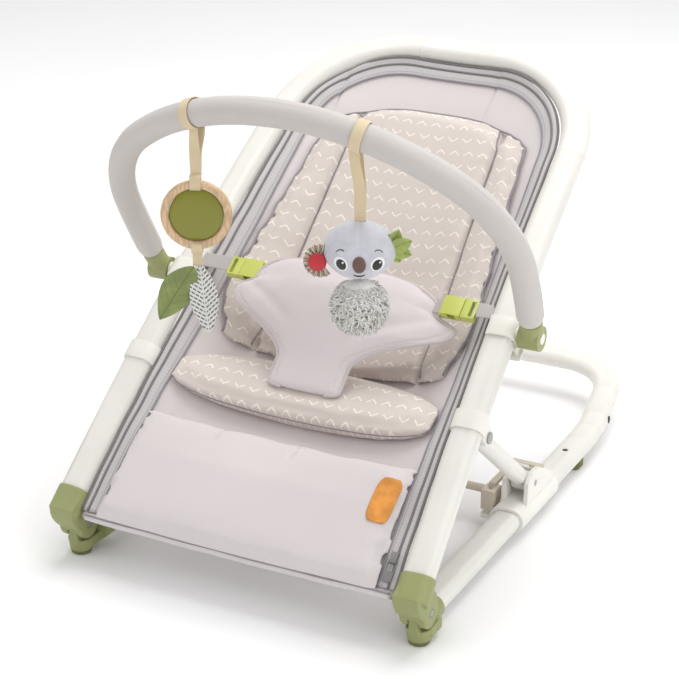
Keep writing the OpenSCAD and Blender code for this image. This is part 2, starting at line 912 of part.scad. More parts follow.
module lock_pin(side) {
  color("#b8b8b4")
    place()
      mirrored(side)
        translate([rail_x, lock_y1, 31 + release_up])
          cylinder(r = 3.5, h = 11.2);
}
module lock_pin_left() { lock_pin(-1); }
module lock_pin_right() { lock_pin(1); }

// ---------- toy arch ----------

side_x = crown_r * sin(crown_a);
side_h = arch_h - crown_r * (1 - cos(crown_a));
side_cx = side_x - side_r * sin(crown_a);
side_cy = side_h - side_r * cos(crown_a);
// Half of the arch as three tangent arcs of a round or ring section.
module arch_half(cut) {
  translate([side_cx, side_cy, 0])
    short_arc(side_r, 90 - crown_a)
      children();
  translate([side_cx + side_r - foot_r, side_cy, 0])
    rotate([0, 0, -foot_a + cut])
      short_arc(foot_r, foot_a - cut)
        children();
}
module arch_crown() {
  translate([0, arch_h - crown_r, 0])
    rotate([0, 0, 90 - crown_a])
      short_arc(crown_r, 2 * crown_a)
        children();
}
// Beads at the joints of the arcs, of outer radius r and inner radius ri.
module arch_beads(r, ri) {
  for (k = [-1, 1])
    mirrored(k) {
      translate([side_x, side_h, 0])
        rotate([0, 0, 90 - crown_a])
          arch_bead(r, ri);
      translate([side_cx + side_r, side_cy, 0])
        arch_bead(r, ri);
    }
}
module arch_bead(r, ri) {
  rotate([90, 0, 0])
    difference() {
      cylinder(r = r, h = 1.6, center = true);
      if (ri > 0)
        cylinder(r = ri, h = 3, center = true);
    }
}

module arch_core() {
  color("#e0ded8")
    place()
      at_arch() {
        arch_half(1.6) circle(r = 6);
        mirror([1, 0, 0]) arch_half(1.6) circle(r = 6);
        arch_crown() circle(r = 6);
        arch_beads(6.1, 0);
      }
}

module arch_ring() {
  difference() {
    circle(d = arch_d);
    circle(r = 6.25);
  }
}
module arch_sleeve() {
  color("#c8c2be")
    place()
      at_arch() {
        arch_half(2.4) arch_ring();
        mirror([1, 0, 0]) arch_half(2.4) arch_ring();
        arch_crown() arch_ring();
        arch_beads(arch_d / 2 + 0.15, 6.3);
      }
}

// End socket: cap on the core and eye on the clamp's stub.
module arch_socket(side) {
  color("#a8b074")
    place()
      mirrored(side)
        difference() {
          union() {
            at_arch()
              translate([arch_x, 0, 0])
                rotate([0, 0, -foot_a])
                  translate([0, -2, 0])
                    rotate([-90, 0, 0])
                      cylinder(r = 12.4, h = 30);
            translate([arch_x, arch_o[1], arch_o[2]])
              xcyl(14, 24);
          }
          translate([arch_x, arch_o[1], arch_o[2]])
            xcyl(6 + pivot_clear, 60);
          at_arch()
            translate([arch_x, 0, 0])
              rotate([0, 0, -foot_a])
                rotate([-90, 0, 0])
                  translate([0, 0, 16])
                    cylinder(r = 6.6, h = 30);
        }
}
module arch_socket_left() { arch_socket(-1); }
module arch_socket_right() { arch_socket(1); }

// ---------- hanging toys ----------

ring_x = -103;
ring_z = 387;
plush_x = 93;
head_z = 381;
// Frame at a hanging point under the arch; local X follows the arch.
module at_hang(x) {
  a = asin(x / crown_r);
  at_arch()
    translate([crown_pt(x)[0], crown_pt(x)[1], 0])
      rotate([0, 0, -a])
        children();
}
module hang_collar() {
  rotate([0, 90, 0])
    difference() {
      cylinder(r = arch_d / 2 + 1.6, h = 12, center = true);
      cylinder(r = arch_d / 2 + 0.4, h = 14, center = true);
    }
}

module ring_loop() {
  w = arch_world(ring_x);
  rr = ring_d / 2;
  color("#decca8")
    place() {
      difference() {
        union() {
          at_hang(ring_x) hang_collar();
          translate([w[0], w[1], (w[2] - 10 + ring_z + rr + 5.2) / 2])
            rotate([0, 0, face_turn])
              cube([12, 2.4, w[2] - 10 - ring_z - rr - 5.2], center = true);
        }
        at_hang(ring_x) xcyl(arch_d / 2 + 0.4, 40);
      }
      translate([w[0], w[1], ring_z])
        rotate([0, 0, face_turn])
          for (j = [-1, 1])
            translate([-6, j * 6.3 - 0.6, rr - 9])
              cube([12, 1.2, 15]);
      translate([w[0], w[1], ring_z + rr + 5.4])
        rotate([0, 0, face_turn])
          cube([12, 13.8, 1.2], center = true);
    }
}

module at_ring() {
  w = arch_world(ring_x);
  translate([w[0], w[1], ring_z])
    rotate([0, 0, face_turn])
      rotate([90, 0, 0])
        children();
}
module toy_ring() {
  color("#d6b28c")
    place()
      at_ring()
        rotate_extrude()
          translate([ring_d / 2 - 4.5, 0])
            difference() {
              circle(r = 5);
              translate([-9.3, -10])
                square([5, 20]);
              translate([4.5, -10])
                square([5, 20]);
            }
}
module ring_disc() {
  color("#807a1c")
    place()
      at_ring()
        cylinder(r = ring_d / 2 - 9.2, h = 7, center = true);
}

leaf_z = 331;
module leaf_tab() {
  w = arch_world(ring_x);
  rr = ring_d / 2;
  color("#decca8")
    place()
      translate([w[0], w[1], 0])
        rotate([0, 0, face_turn]) {
          for (j = [-1, 1])
            translate([-6, j * 6.3 - 0.6, ring_z - rr + 3.7])
              cube([12, 1.2, 3.3]);
          difference() {
            translate([0, 0, ring_z - rr + 3.7])
              xcyl(6.9, 12);
            translate([0, 0, ring_z - rr + 3.7])
              xcyl(5.7, 20);
            translate([-10, -10, ring_z - rr + 3.7])
              cube([20, 20, 10]);
          }
          translate([-6, -0.6, leaf_z])
            cube([12, 1.2, ring_z - rr - leaf_z - 2.4]);
        }
}
module leaf_shape(l, w) {
  r = (l * l / 4 + w * w / 4) / w;
  intersection() {
    translate([r - w / 2, -l / 2])
      circle(r = r);
    translate([w / 2 - r, -l / 2])
      circle(r = r);
  }
}
module leaf_green() {
  w = arch_world(ring_x);
  color("#868c5a")
    place()
      translate([w[0], w[1], leaf_z])
        rotate([0, 0, face_turn])
          translate([-4, -3.2, -1])
            rotate([90, 0, 0])
              rotate([0, 0, -32])
                linear_extrude(height = 2)
                  leaf_shape(74, 36);
}
module leaf_print() {
  w = arch_world(ring_x);
  color("#d8d8d4")
    place()
      translate([w[0], w[1], leaf_z])
        rotate([0, 0, face_turn])
          translate([2, 3.2, -1])
            rotate([90, 0, 0])
              rotate([0, 0, 6])
                linear_extrude(height = 2)
                  leaf_shape(80, 32);
}

module plush_loop() {
  w = arch_world(plush_x);
  color("#decca8")
    place()
      difference() {
        union() {
          at_hang(plush_x) hang_collar();
          translate([w[0], w[1], (w[2] + head_z + 31) / 2])
            rotate([0, 0, face_turn])
              cube([12, 2.4, w[2] - head_z - 31.5], center = true);
        }
        at_hang(plush_x) xcyl(arch_d / 2 + 0.4, 40);
      }
}

// Rounded body of revolution about the vertical.
module egg(rx, rz) {
  rotate_extrude()
    polygon([for (a = [-90:12:90]) [rx * cos(a), rz * sin(a)]]);
}
module at_plush(z) {
  w = arch_world(plush_x);
  translate([w[0], w[1], z])
    rotate([0, 0, face_turn])
      children();
}
module plush_head() {
  color("#bebecd")
    place()
      at_plush(head_z)
        egg(head_w / 2, 31);
}
module plush_body() {
  color("#e8e2d4")
    place()
      at_plush(320)
        difference() {
          egg(31, 31);
          translate([0, 0, head_z - 320])
            egg(head_w / 2 + 0.4, 31.4);
        }
}
module plush_ear_left() {
  color("#d8ccb4")
    place()
      difference() {
        at_plush(head_z - 10)
          translate([-head_w / 2 - 4, -8, 0])
            rotate([90, 0, 0])
              cylinder(r = 17, h = 5, center = true);
        head_room();
      }
}
module plush_ear_disc() {
  color("#be2832")
    place()
      at_plush(head_z - 10)
        translate([-head_w / 2 - 7, -12.2, 0])
          rotate([90, 0, 0])
            cylinder(r = 9, h = 3, center = true);
}
module plush_ear_right() {
  color("#96a55a")
    place()
      difference() {
        at_plush(head_z + 4)
          translate([head_w / 2 + 6, -8, 0])
            rotate([90, 0, 0])
              cylinder(r = 16, h = 6, center = true);
        head_room();
      }
}
// The head with a little room round it.
module head_room() {
  at_plush(head_z)
    egg(head_w / 2 + 0.3, 31.3);
}
module plush_eyes() {
  color("#18181a")
    place()
      at_plush(head_z)
        difference() {
          for (k = [-1, 1])
            translate([k * 19, -32, -6])
              rotate([90, 0, 0])
                cylinder(r = 6, h = 10, center = true);
          egg(head_w / 2 + 0.2, 31.2);
        }
}
module plush_nose() {
  color("#6e5850")
    place()
      at_plush(head_z)
        difference() {
          translate([0, -34.5, -6])
            egg(7.5, 10);
          egg(head_w / 2 + 0.2, 31.2);
        }
}

base_tube();
foot_socket_left();
foot_socket_right();
foot_pads();
hinge_pins();
rear_pads();
rail_plugs();
seat_tube();
elbow_left();
elbow_right();
strut_brackets();
strut_bolts();
arch_clamp_left();
arch_clamp_right();
seat_cover();
leg_panel();
zip_tape();
insert_back();
insert_cushion();
lap_pad();
label_patch();
webbing_left();
webbing_right();
buckle_socket_left();
buckle_socket_right();
buckle_plug_left();
buckle_plug_right();
zip_slider();
zip_pull();
strut_left();
strut_right();
sleeve_left();
sleeve_right();
crossbar();
slider_pins();
release_block_left();
release_block_right();
lock_pin_left();
lock_pin_right();
arch_core();
arch_sleeve();
arch_socket_left();
arch_socket_right();
ring_loop();
toy_ring();
ring_disc();
leaf_tab();
leaf_green();
leaf_print();
plush_loop();
plush_head();
plush_body();
plush_ear_left();
plush_ear_disc();
plush_ear_right();
plush_eyes();
plush_nose();
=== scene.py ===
"""Reclining bouncer seat: the soft goods, hanging toys, finishes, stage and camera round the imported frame.

Lengths in the seat functions are millimetres and every mesh is in metres. On the seat, x runs across,
s runs up the slope from the lower end of the tubes and n is the height over the plane of the tubes.
"""
import math

import bmesh
import bpy
import numpy as np
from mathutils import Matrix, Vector


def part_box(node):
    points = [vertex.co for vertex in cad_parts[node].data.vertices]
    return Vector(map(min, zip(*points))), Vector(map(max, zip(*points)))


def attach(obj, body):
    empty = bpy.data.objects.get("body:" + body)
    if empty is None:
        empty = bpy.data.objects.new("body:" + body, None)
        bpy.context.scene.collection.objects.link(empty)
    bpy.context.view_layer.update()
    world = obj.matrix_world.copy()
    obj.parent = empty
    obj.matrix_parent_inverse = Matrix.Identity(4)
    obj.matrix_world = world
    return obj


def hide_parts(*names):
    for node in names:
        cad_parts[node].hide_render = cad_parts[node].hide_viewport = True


bl_info = {
    "name": "Bouncer Seat",
    "version": (1, 0, 0),
    "blender": (4, 5, 0),
    "location": "View3D > Sidebar > Bouncer",
    "description": "Builds the cover, pads, toys, finishes and studio round a reclining bouncer seat frame",
    "category": "Object",
}

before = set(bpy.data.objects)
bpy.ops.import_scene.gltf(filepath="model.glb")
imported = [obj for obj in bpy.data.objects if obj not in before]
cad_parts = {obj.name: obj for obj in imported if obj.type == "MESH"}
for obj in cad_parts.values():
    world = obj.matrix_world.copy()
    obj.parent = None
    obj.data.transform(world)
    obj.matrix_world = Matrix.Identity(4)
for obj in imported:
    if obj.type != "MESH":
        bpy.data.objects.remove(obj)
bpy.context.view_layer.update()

# ---------- the seat's own sizes, in millimetres ----------

MM = 0.001
SLOPE = math.radians(31.6)
LEAN = math.radians(2.2)
LEG = 543.0
BOW_R = 3085.0
CORNER_R = 143.3
TUBE_W, TUBE_T = 34.0, 22.0
EDGE_GAP = 3.6
TOP_X, TOP_Z = 190.0, 402.0
PIN_LOW, PIN_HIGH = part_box("hinge_pins")
HINGE = (0.5 * (PIN_LOW.y + PIN_HIGH.y) / MM, 0.5 * (PIN_LOW.z + PIN_HIGH.z) / MM)
SHIFT_Y = HINGE[0] + 2.0
TOP_Y = 430.0 + SHIFT_Y
IN_R = CORNER_R - TUBE_W / 2
BAR_HALF = TOP_X - CORNER_R * math.cos(LEAN)
CORNER_DROP = CORNER_R * math.sin(LEAN)
SAG_S = (-26, 60, 110, 140, 180, 240, 300, 370, 480, 600, 664)
SAG_N = (6, 10, 28, 36, 54, 76, 82, 76, 52, 22, 6)
ARCH_S = 293.0
ARCH_LEAN = math.radians(118.8)
FACE_TURN = math.radians(26)
RING_X, RING_Z, RING_R = -103.0, 387.0, 38.5
PLUSH_X, HEAD_Z, HEAD_W = 93.0, 381.0, 74.0
BUCKLE_S, BUCKLE_OFF = 304.0, 14.0
OVAL_T = 23.0


# ---------- what a user may change ----------

COLOURS = {
    "frame": ("Frame", "Satin powder coat of the tubes", (231, 229, 222)),
    "moulded": ("White mouldings", "Sleeves, clamps and brackets", (236, 234, 227)),
    "green": ("Green mouldings", "Feet, elbows and arch sockets", (152, 156, 104)),
    "beige": ("Release", "Release blocks and the bar between the sleeves", (206, 196, 180)),
    "lime": ("Buckles", "Both halves of the waist buckles", (198, 206, 104)),
    "rubber": ("Rubber", "Floor pads", (116, 118, 70)),
    "cover": ("Cover", "Twill of the cover and the leg cushion", (222, 214, 214)),
    "tape": ("Zip band", "Tape of the zip that runs inside the tubes", (206, 201, 202)),
    "insert": ("Insert", "Knit of the newborn insert", (214, 204, 197)),
    "print": ("Insert print", "Small chevrons on the insert", (247, 238, 229)),
    "lap": ("Lap pad", "Brushed cloth of the lap pad", (220, 211, 212)),
    "label": ("Label", "Blank slip on the leg cushion", (226, 150, 62)),
    "webbing": ("Webbing", "Waist straps", (187, 181, 178)),
    "arch": ("Toy arch", "Knit sleeve of the arch", (208, 202, 198)),
    "ribbon": ("Ribbons", "Ribbons that carry the toys", (226, 208, 172)),
    "wood": ("Wood", "Teething ring", (222, 190, 152)),
    "disc": ("Disc", "Disc inside the ring", (132, 132, 28)),
    "leaf": ("Leaf", "Green cloth leaf", (128, 140, 84)),
    "plush": ("Plush", "Short pile of the plush head", (210, 210, 219)),
    "fluff": ("Fleece", "Long pile of the plush body", (250, 246, 238)),
    "ruffle": ("Ruffle", "Ground of the striped ear ribbon", (226, 214, 190)),
    "red": ("Red satin", "Disc on the ruffled ear", (196, 42, 54)),
    "petal": ("Petals", "Felt petals of the other ear", (158, 172, 96)),
    # This colour also gives the dark line at the tubes' inner edge, which is painted shade for the shadow
    # gap there.
    "line": ("Seam lines", "Zip coil and dark pipings", (128, 122, 124)),
    "steel": ("Steel", "Pins and bolts", (176, 176, 172)),
    "dark": ("Plugs", "Plugs in the rear bow", (62, 60, 58)),
}
SIZES = {
    "edge_round": ("Moulding edges", "Radius on the edges of the mouldings", 0.9),
    "leg_crown": ("Leg cushion", "Rise of the leg cushion over the cover", 16.0),
    "back_loft": ("Insert back", "Loft of the insert's back", 13.0),
    "channel_depth": ("Channels", "Depth of the two sewn channels", 7.5),
    "cushion_rise": ("Seat cushion", "Rise of the oval cushion over its middle plane", 12.5),
    "lap_loft": ("Lap pad", "Loft of the lap pad", 7.5),
    "piping": ("Piping", "Radius of the sewn pipings", 1.5),
    "ribbon_half": ("Ribbons", "Half width of the toy ribbons", 6.0),
    "pile": ("Fleece", "Mean length of the fleece locks", 5.75),
}


class BouncerColours(bpy.types.PropertyGroup):
    """Colours of the seat, as sRGB parts."""
    __annotations__ = {
        key: bpy.props.FloatVectorProperty(
            name=label, description=text, subtype="COLOR_GAMMA", size=3, min=0.0, max=1.0,
            default=tuple(part / 255 for part in rgb))
        for key, (label, text, rgb) in COLOURS.items()}


class BouncerSizes(bpy.types.PropertyGroup):
    """Sizes of the soft goods and edges, in metres."""
    __annotations__ = {
        key: bpy.props.FloatProperty(name=label, description=text, unit="LENGTH", min=0.0001, max=0.1,
                                     precision=4, default=value * MM)
        for key, (label, text, value) in SIZES.items()}


def dye(key):
    """A colour of the panel as parts of 255."""
    return tuple(255 * part for part in getattr(bpy.context.scene.bouncer_colours, key))


def measure(key):
    """A size of the panel in millimetres."""
    return getattr(bpy.context.scene.bouncer_sizes, key) / MM


# ---------- the seat's surface ----------

def seat(x, s, n):
    """Points of the seat: an arc of radius BOW_R, then a straight slope, turned by SLOPE."""
    x, s, n = np.broadcast_arrays(*(np.asarray(a, float) for a in (x, s, n)))
    turn = np.maximum(LEG - s, 0) / BOW_R
    along = -(BOW_R + n) * np.sin(turn) + np.maximum(s - LEG, 0)
    above = -BOW_R + (BOW_R + n) * np.cos(turn)
    y = TOP_Y + along * math.cos(SLOPE) - above * math.sin(SLOPE)
    z = TOP_Z + along * math.sin(SLOPE) + above * math.cos(SLOPE)
    return np.stack([x, y, z], -1) * MM


def unseat(points):
    """The x, s and n of points in metres: the inverse of seat()."""
    p = np.asarray(points, float) / MM
    dy, dz = p[..., 1] - TOP_Y, p[..., 2] - TOP_Z
    along = dy * math.cos(SLOPE) + dz * math.sin(SLOPE)
    above = -dy * math.sin(SLOPE) + dz * math.cos(SLOPE)
    turn = np.arctan2(-along, above + BOW_R)
    s = np.where(along < 0, LEG - turn * BOW_R, LEG + along)
    n = np.where(along < 0, np.hypot(along, above + BOW_R) - BOW_R, above)
    return p[..., 0], s, n


def inner(s):
    """Half of the clear width between the tubes: leaning legs, then the circle of the head corners."""
    s = np.asarray(s, float)
    legs = TOP_X + math.sin(LEAN) * (LEG - s) - TUBE_W / 2
    round_ = BAR_HALF + np.sqrt(np.maximum(IN_R**2 - (s - LEG + CORNER_DROP) ** 2, 0))
    return np.where(s <= LEG, legs, round_)


def cover_n(x, s):
    """Height of the cover: the sag line times one minus the 2.4th power of the share of the half width."""
    share = np.minimum(np.abs(x) / inner(s), 1)
    return -np.interp(s, SAG_S, SAG_N) * (1 - share**2.4)


def smooth(t):
    """Cubic step from 0 to 1."""
    t = np.clip(t, 0, 1)
    return t * t * (3 - 2 * t)


def dome(u, p):
    """Square root of one minus the p-th power of u: flat in the middle and steep at the ends."""
    return np.sqrt(np.maximum(1 - np.abs(u) ** p, 0))


def bump_at(d, width):
    """A smooth bell of height one and the given half width round d = 0."""
    return np.exp(-((d / width) ** 2))


def ripple(x, y, seed, size):
    """Soft folds: the mean of six sines of random direction and phase, with waves about size long."""
    rng = np.random.default_rng(seed)
    total = 0.0
    angles = rng.uniform(0, math.pi, 6)
    phases = rng.uniform(0, 6.28, 6)
    stretches = rng.uniform(0.6, 1.7, 6)
    for angle, phase, stretch in zip(angles, phases, stretches):
        along = x * math.cos(angle) + y * math.sin(angle)
        total = total + np.sin(2 * math.pi * along / (size * stretch) + phase)
    return total / 6


# ---------- meshes from grids ----------

def laid(x, y, z):
    """Places on the flat cloth in metres, from three grids or numbers in millimetres."""
    return np.stack(np.broadcast_arrays(*(np.asarray(part, float) for part in (x, y, z))), -1) * MM


def new_piece(name, points, faces, cut=None, smooth_faces=True):
    """A mesh object from arrays; cut holds each vertex's place on the flat cloth, in metres."""
    mesh = bpy.data.meshes.new(name)
    mesh.from_pydata(points.reshape(-1, 3), [], faces)
    mesh.polygons.foreach_set("use_smooth", np.full(len(mesh.polygons), smooth_faces))
    if cut is not None:
        layer = mesh.attributes.new("cut", "FLOAT_VECTOR", "POINT")
        layer.data.foreach_set("vector", np.asarray(cut, np.float32).ravel())
    mesh.update()
    piece = bpy.data.objects.new(name, mesh)
    bpy.context.scene.collection.objects.link(piece)
    return piece


def outward(piece):
    """Turns the faces outwards, after merging what lies together."""
    work = bmesh.new()
    work.from_mesh(piece.data)
    bmesh.ops.remove_doubles(work, verts=work.verts, dist=1e-6)
    bmesh.ops.recalc_face_normals(work, faces=work.faces)
    work.to_mesh(piece.data)
    work.free()
    return piece


def quads(rows, cols, wrap=False):
    """Index quads of a grid, closed round its columns when wrap is set."""
    i, j = np.meshgrid(np.arange(rows - 1), np.arange(cols if wrap else cols - 1), indexing="ij")
    k = (j + 1) % cols
    return np.stack([i * cols + j, i * cols + k, (i + 1) * cols + k, (i + 1) * cols + j], -1).reshape(-1, 4)


def skin(name, points, cut=None):
    """A closed tube from rings of points (rows, around, 3), with both ends closed by a fan."""
    rows, cols = points.shape[:2]
    ends = np.stack([points[0].mean(0), points[-1].mean(0)])
    every = np.concatenate([points.reshape(-1, 3), ends])
    a, b = rows * cols, rows * cols + 1
    j = np.arange(cols)
    k = (j + 1) % cols
    last = (rows - 1) * cols
    faces = quads(rows, cols, True).tolist()
    faces += np.stack([k, j, np.full(cols, a)], -1).tolist()
    faces += np.stack([last + j, last + k, np.full(cols, b)], -1).tolist()
    if cut is not None:
        flat = cut.reshape(-1, 3)
        cut = np.concatenate([flat, cut[0].mean(0)[None], cut[-1].mean(0)[None]])
    return outward(new_piece(name, every, faces, cut))


def slab(name, top, bottom, cut=None):
    """A closed solid between two grids of the same shape, as rings that go over the top and back below."""
    rings = np.concatenate([top, bottom[:, ::-1]], 1)
    if cut is not None:
        cut = np.concatenate([cut, cut[:, ::-1]], 1)
    return skin(name, rings, cut)


def sweep(name, path, across, over, width, height, power=1.0, around=32, cut_scale=1.0):
    """An oval section carried along a path, its half axes along the unit vectors across and over."""
    a = np.linspace(0, 2 * math.pi, around, endpoint=False)
    c = np.sign(np.cos(a)) * np.abs(np.cos(a)) ** power
    d = np.sign(np.sin(a)) * np.abs(np.sin(a)) ** power
    width, height = (np.broadcast_to(np.asarray(v, float), len(path)) for v in (width, height))
    points = (path[:, None] + across[:, None] * (width[:, None] * c)[..., None]
              + over[:, None] * (height[:, None] * d)[..., None])
    run = np.concatenate([[0], np.cumsum(np.linalg.norm(np.diff(path, axis=0), axis=1))])
    girth = a[None] * np.maximum(width, height)[:, None]
    cut = np.stack([np.broadcast_to(run[:, None], girth.shape), girth, 0 * girth], -1) * cut_scale
    return skin(name, points, cut)


def frames_along(path, up):
    """Unit vectors across and over a path: across is the path's direction times up."""
    tangent = np.gradient(path, axis=0)
    tangent /= np.linalg.norm(tangent, axis=1)[:, None]
    across = np.cross(tangent, up)
    across /= np.linalg.norm(across, axis=1)[:, None]
    return across, np.cross(across, tangent)


def pad(name, half, centre, low, high, rows=90, around=120, square=0.55, rim=0.5, aside=lambda v: 0.0):
    """A crowned pad: rings of a squared oval at stations v from 0 to 1.

    half(v) is the half width, aside(v) the sideways shift of the middle, centre(x, v) gives s, and low and
    high give the under side and the top."""
    v = 0.5 - 0.5 * np.cos(np.linspace(0.02, math.pi - 0.02, rows))
    a = np.linspace(0, 2 * math.pi, around, endpoint=False)
    u = np.sign(np.cos(a)) * np.abs(np.cos(a)) ** square
    lift = np.sign(np.sin(a)) * np.abs(np.sin(a)) ** rim
    uu, vv = np.meshgrid(u, v)
    x = uu * half(vv) + aside(vv)
    s = centre(x, vv)
    bottom, top = low(x, s, uu, vv), high(x, s, uu, vv)
    n = 0.5 * (bottom + top) + 0.5 * (top - bottom) * lift[None]
    return skin(name, seat(x, s, n), laid(x, s, n))


# ---------- soft work ----------

def puff(piece, voxel, cap, rounds=20):
    """Blows a pad up as cloth under pressure, without gravity.

    The pad keeps its outline: it moves along its normals by at most cap, and a tenth of its sideways drift.
    """
    remesh = piece.modifiers.new("remesh", "REMESH")
    remesh.mode = "VOXEL"
    remesh.voxel_size = voxel
    apply(piece, remesh)
    rest = vertices(piece)
    normals = np.empty(len(rest) * 3)
    piece.data.vertices.foreach_get("normal", normals)
    normals = normals.reshape(-1, 3)
    cloth = piece.modifiers.new("cloth", "CLOTH")
    cloth.settings.use_pressure = True
    cloth.settings.uniform_pressure_force = 4
    cloth.settings.effector_weights.gravity = 0
    cloth.settings.quality = 4
    scene = bpy.context.scene
    for step in range(1, rounds + 1):
        scene.frame_set(step)
    shape = piece.evaluated_get(bpy.context.evaluated_depsgraph_get()).to_mesh()
    moved = np.empty(len(shape.vertices) * 3)
    shape.vertices.foreach_get("co", moved)
    move = moved.reshape(-1, 3) - rest
    along = (move * normals).sum(axis=1)[:, None]
    sideways = move - along * normals
    drift = np.linalg.norm(sideways, axis=1)[:, None]
    sideways = sideways * np.minimum(0.1, 0.1 * cap / np.maximum(drift, 1e-9))
    moved = rest + np.clip(along, -0.15 * cap, cap) * normals + sideways
    piece.modifiers.remove(cloth)
    scene.frame_set(1)
    piece.data.vertices.foreach_set("co", moved.ravel())
    finer = piece.modifiers.new("finer", "SUBSURF")
    finer.levels = finer.render_levels = 1
    apply(piece, finer)
    return piece


def apply(piece, modifier):
    """Applies one modifier."""
    with bpy.context.temp_override(object=piece, active_object=piece, selected_objects=[piece]):
        bpy.ops.object.modifier_apply(modifier=modifier.name)


def vertices(piece):
    """The vertex positions of a mesh as an array."""
    out = np.empty(len(piece.data.vertices) * 3)
    piece.data.vertices.foreach_get("co", out)
    return out.reshape(-1, 3)


def work_surface(piece, change):
    """Raises the vertices of a seat pad by change(x, s, n) millimetres and keeps cut up to date."""
    x, s, n = unseat(vertices(piece))
    piece.data.vertices.foreach_set("co", seat(x, s, n + change(x, s, n)).ravel())
    flat = laid(x, s, n)
    layer = piece.data.attributes.get("cut") or piece.data.attributes.new("cut", "FLOAT_VECTOR", "POINT")
    layer.data.foreach_set("vector", flat.astype(np.float32).ravel())
    piece.data.polygons.foreach_set("use_smooth", np.full(len(piece.data.polygons), True))
    piece.data.update()
    return piece


def hug(piece, path, lift):
    """Path points laid on the nearest surface of a piece, lift millimetres off it and evened out."""
    laid_on = []
    for point in path:
        _, place, normal, _ = piece.closest_point_on_mesh(Vector(point))
        laid_on.append(place + normal * lift * MM)
    line = np.array(laid_on)
    for _ in range(3):
        line[1:-1] = 0.25 * line[:-2] + 0.5 * line[1:-1] + 0.25 * line[2:]
    return line


def finish_piece(piece, body, material, slot, *nodes):
    """Gives a piece its body and finish and hides the frame nodes that it stands for; slot is not used."""
    piece.data.materials.clear()
    piece.data.materials.append(material)
    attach(piece, body)
    if nodes:
        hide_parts(*nodes)
    return piece


def moulded(node, material, slot, body, bevel=None):
    """A copy of a frame node with merged corners, rounded edges and smooth faces."""
    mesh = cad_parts[node].data.copy()
    piece = bpy.data.objects.new(node + "_moulded", mesh)
    bpy.context.scene.collection.objects.link(piece)
    work = bmesh.new()
    work.from_mesh(mesh)
    bmesh.ops.remove_doubles(work, verts=work.verts, dist=1e-6)
    bmesh.ops.dissolve_limit(work, angle_limit=math.radians(1), verts=work.verts, edges=work.edges)
    work.to_mesh(mesh)
    work.free()
    mesh.polygons.foreach_set("use_smooth", np.full(len(mesh.polygons), True))
    rounder = piece.modifiers.new("edge", "BEVEL")
    rounder.width = (bevel or measure("edge_round")) * MM
    rounder.segments = 3
    rounder.limit_method = "ANGLE"
    rounder.angle_limit = math.radians(35)
    rounder.harden_normals = True
    return finish_piece(piece, body, material, slot, node)


def softened(node, material, slot, body, voxel=0.9, rounds=10):
    """A copy of a frame node with all its edges rounded: an even voxel skin, smoothed a few times."""
    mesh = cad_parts[node].data.copy()
    piece = bpy.data.objects.new(node + "_soft", mesh)
    bpy.context.scene.collection.objects.link(piece)
    work = bmesh.new()
    work.from_mesh(mesh)
    bmesh.ops.remove_doubles(work, verts=work.verts, dist=1e-6)
    work.to_mesh(mesh)
    work.free()
    remesh = piece.modifiers.new("skin", "REMESH")
    remesh.mode, remesh.voxel_size = "VOXEL", voxel * MM
    apply(piece, remesh)
    even = piece.modifiers.new("even", "SMOOTH")
    even.factor, even.iterations = 0.5, rounds
    apply(piece, even)
    piece.data.polygons.foreach_set("use_smooth", np.full(len(piece.data.polygons), True))
    return finish_piece(piece, body, material, slot, node)


# ---------- shader maths ----------

class Value:
    """A socket that takes part in Python arithmetic by adding Math nodes."""

    def __init__(self, paint, socket):
        self.paint, self.socket = paint, socket

    def math(self, operation, *others):
        return self.paint.node("ShaderNodeMath", {"operation": operation}, *((self,) + others))

    def __add__(self, other):
        return self.math("ADD", other)

    def __sub__(self, other):
        return self.math("SUBTRACT", other)

    def __rsub__(self, other):
        return self.paint.node("ShaderNodeMath", {"operation": "SUBTRACT"}, other, self)

    def __mul__(self, other):
        return self.math("MULTIPLY", other)

    def __truediv__(self, other):
        return self.math("DIVIDE", other)

    __radd__, __rmul__ = __add__, __mul__

    def abs(self):
        return self.math("ABSOLUTE")

    def fract(self):
        return self.math("FRACT")

    def floor(self):
        return self.math("FLOOR")

    def sin(self):
        return self.math("SINE")

    def most(self, other):
        return self.math("MAXIMUM", other)

    def step(self, low, high):
        """Smooth step from 0 at low to 1 at high."""
        return self.paint.node("ShaderNodeMapRange", {"interpolation_type": "SMOOTHSTEP"}, self, low, high)


def linear(colour):
    """Linear value of an sRGB colour given as three parts of 255."""
    c = np.asarray(colour, float) / 255
    return tuple(np.where(c <= 0.04045, c / 12.92, ((c + 0.055) / 1.055) ** 2.4)) + (1.0,)


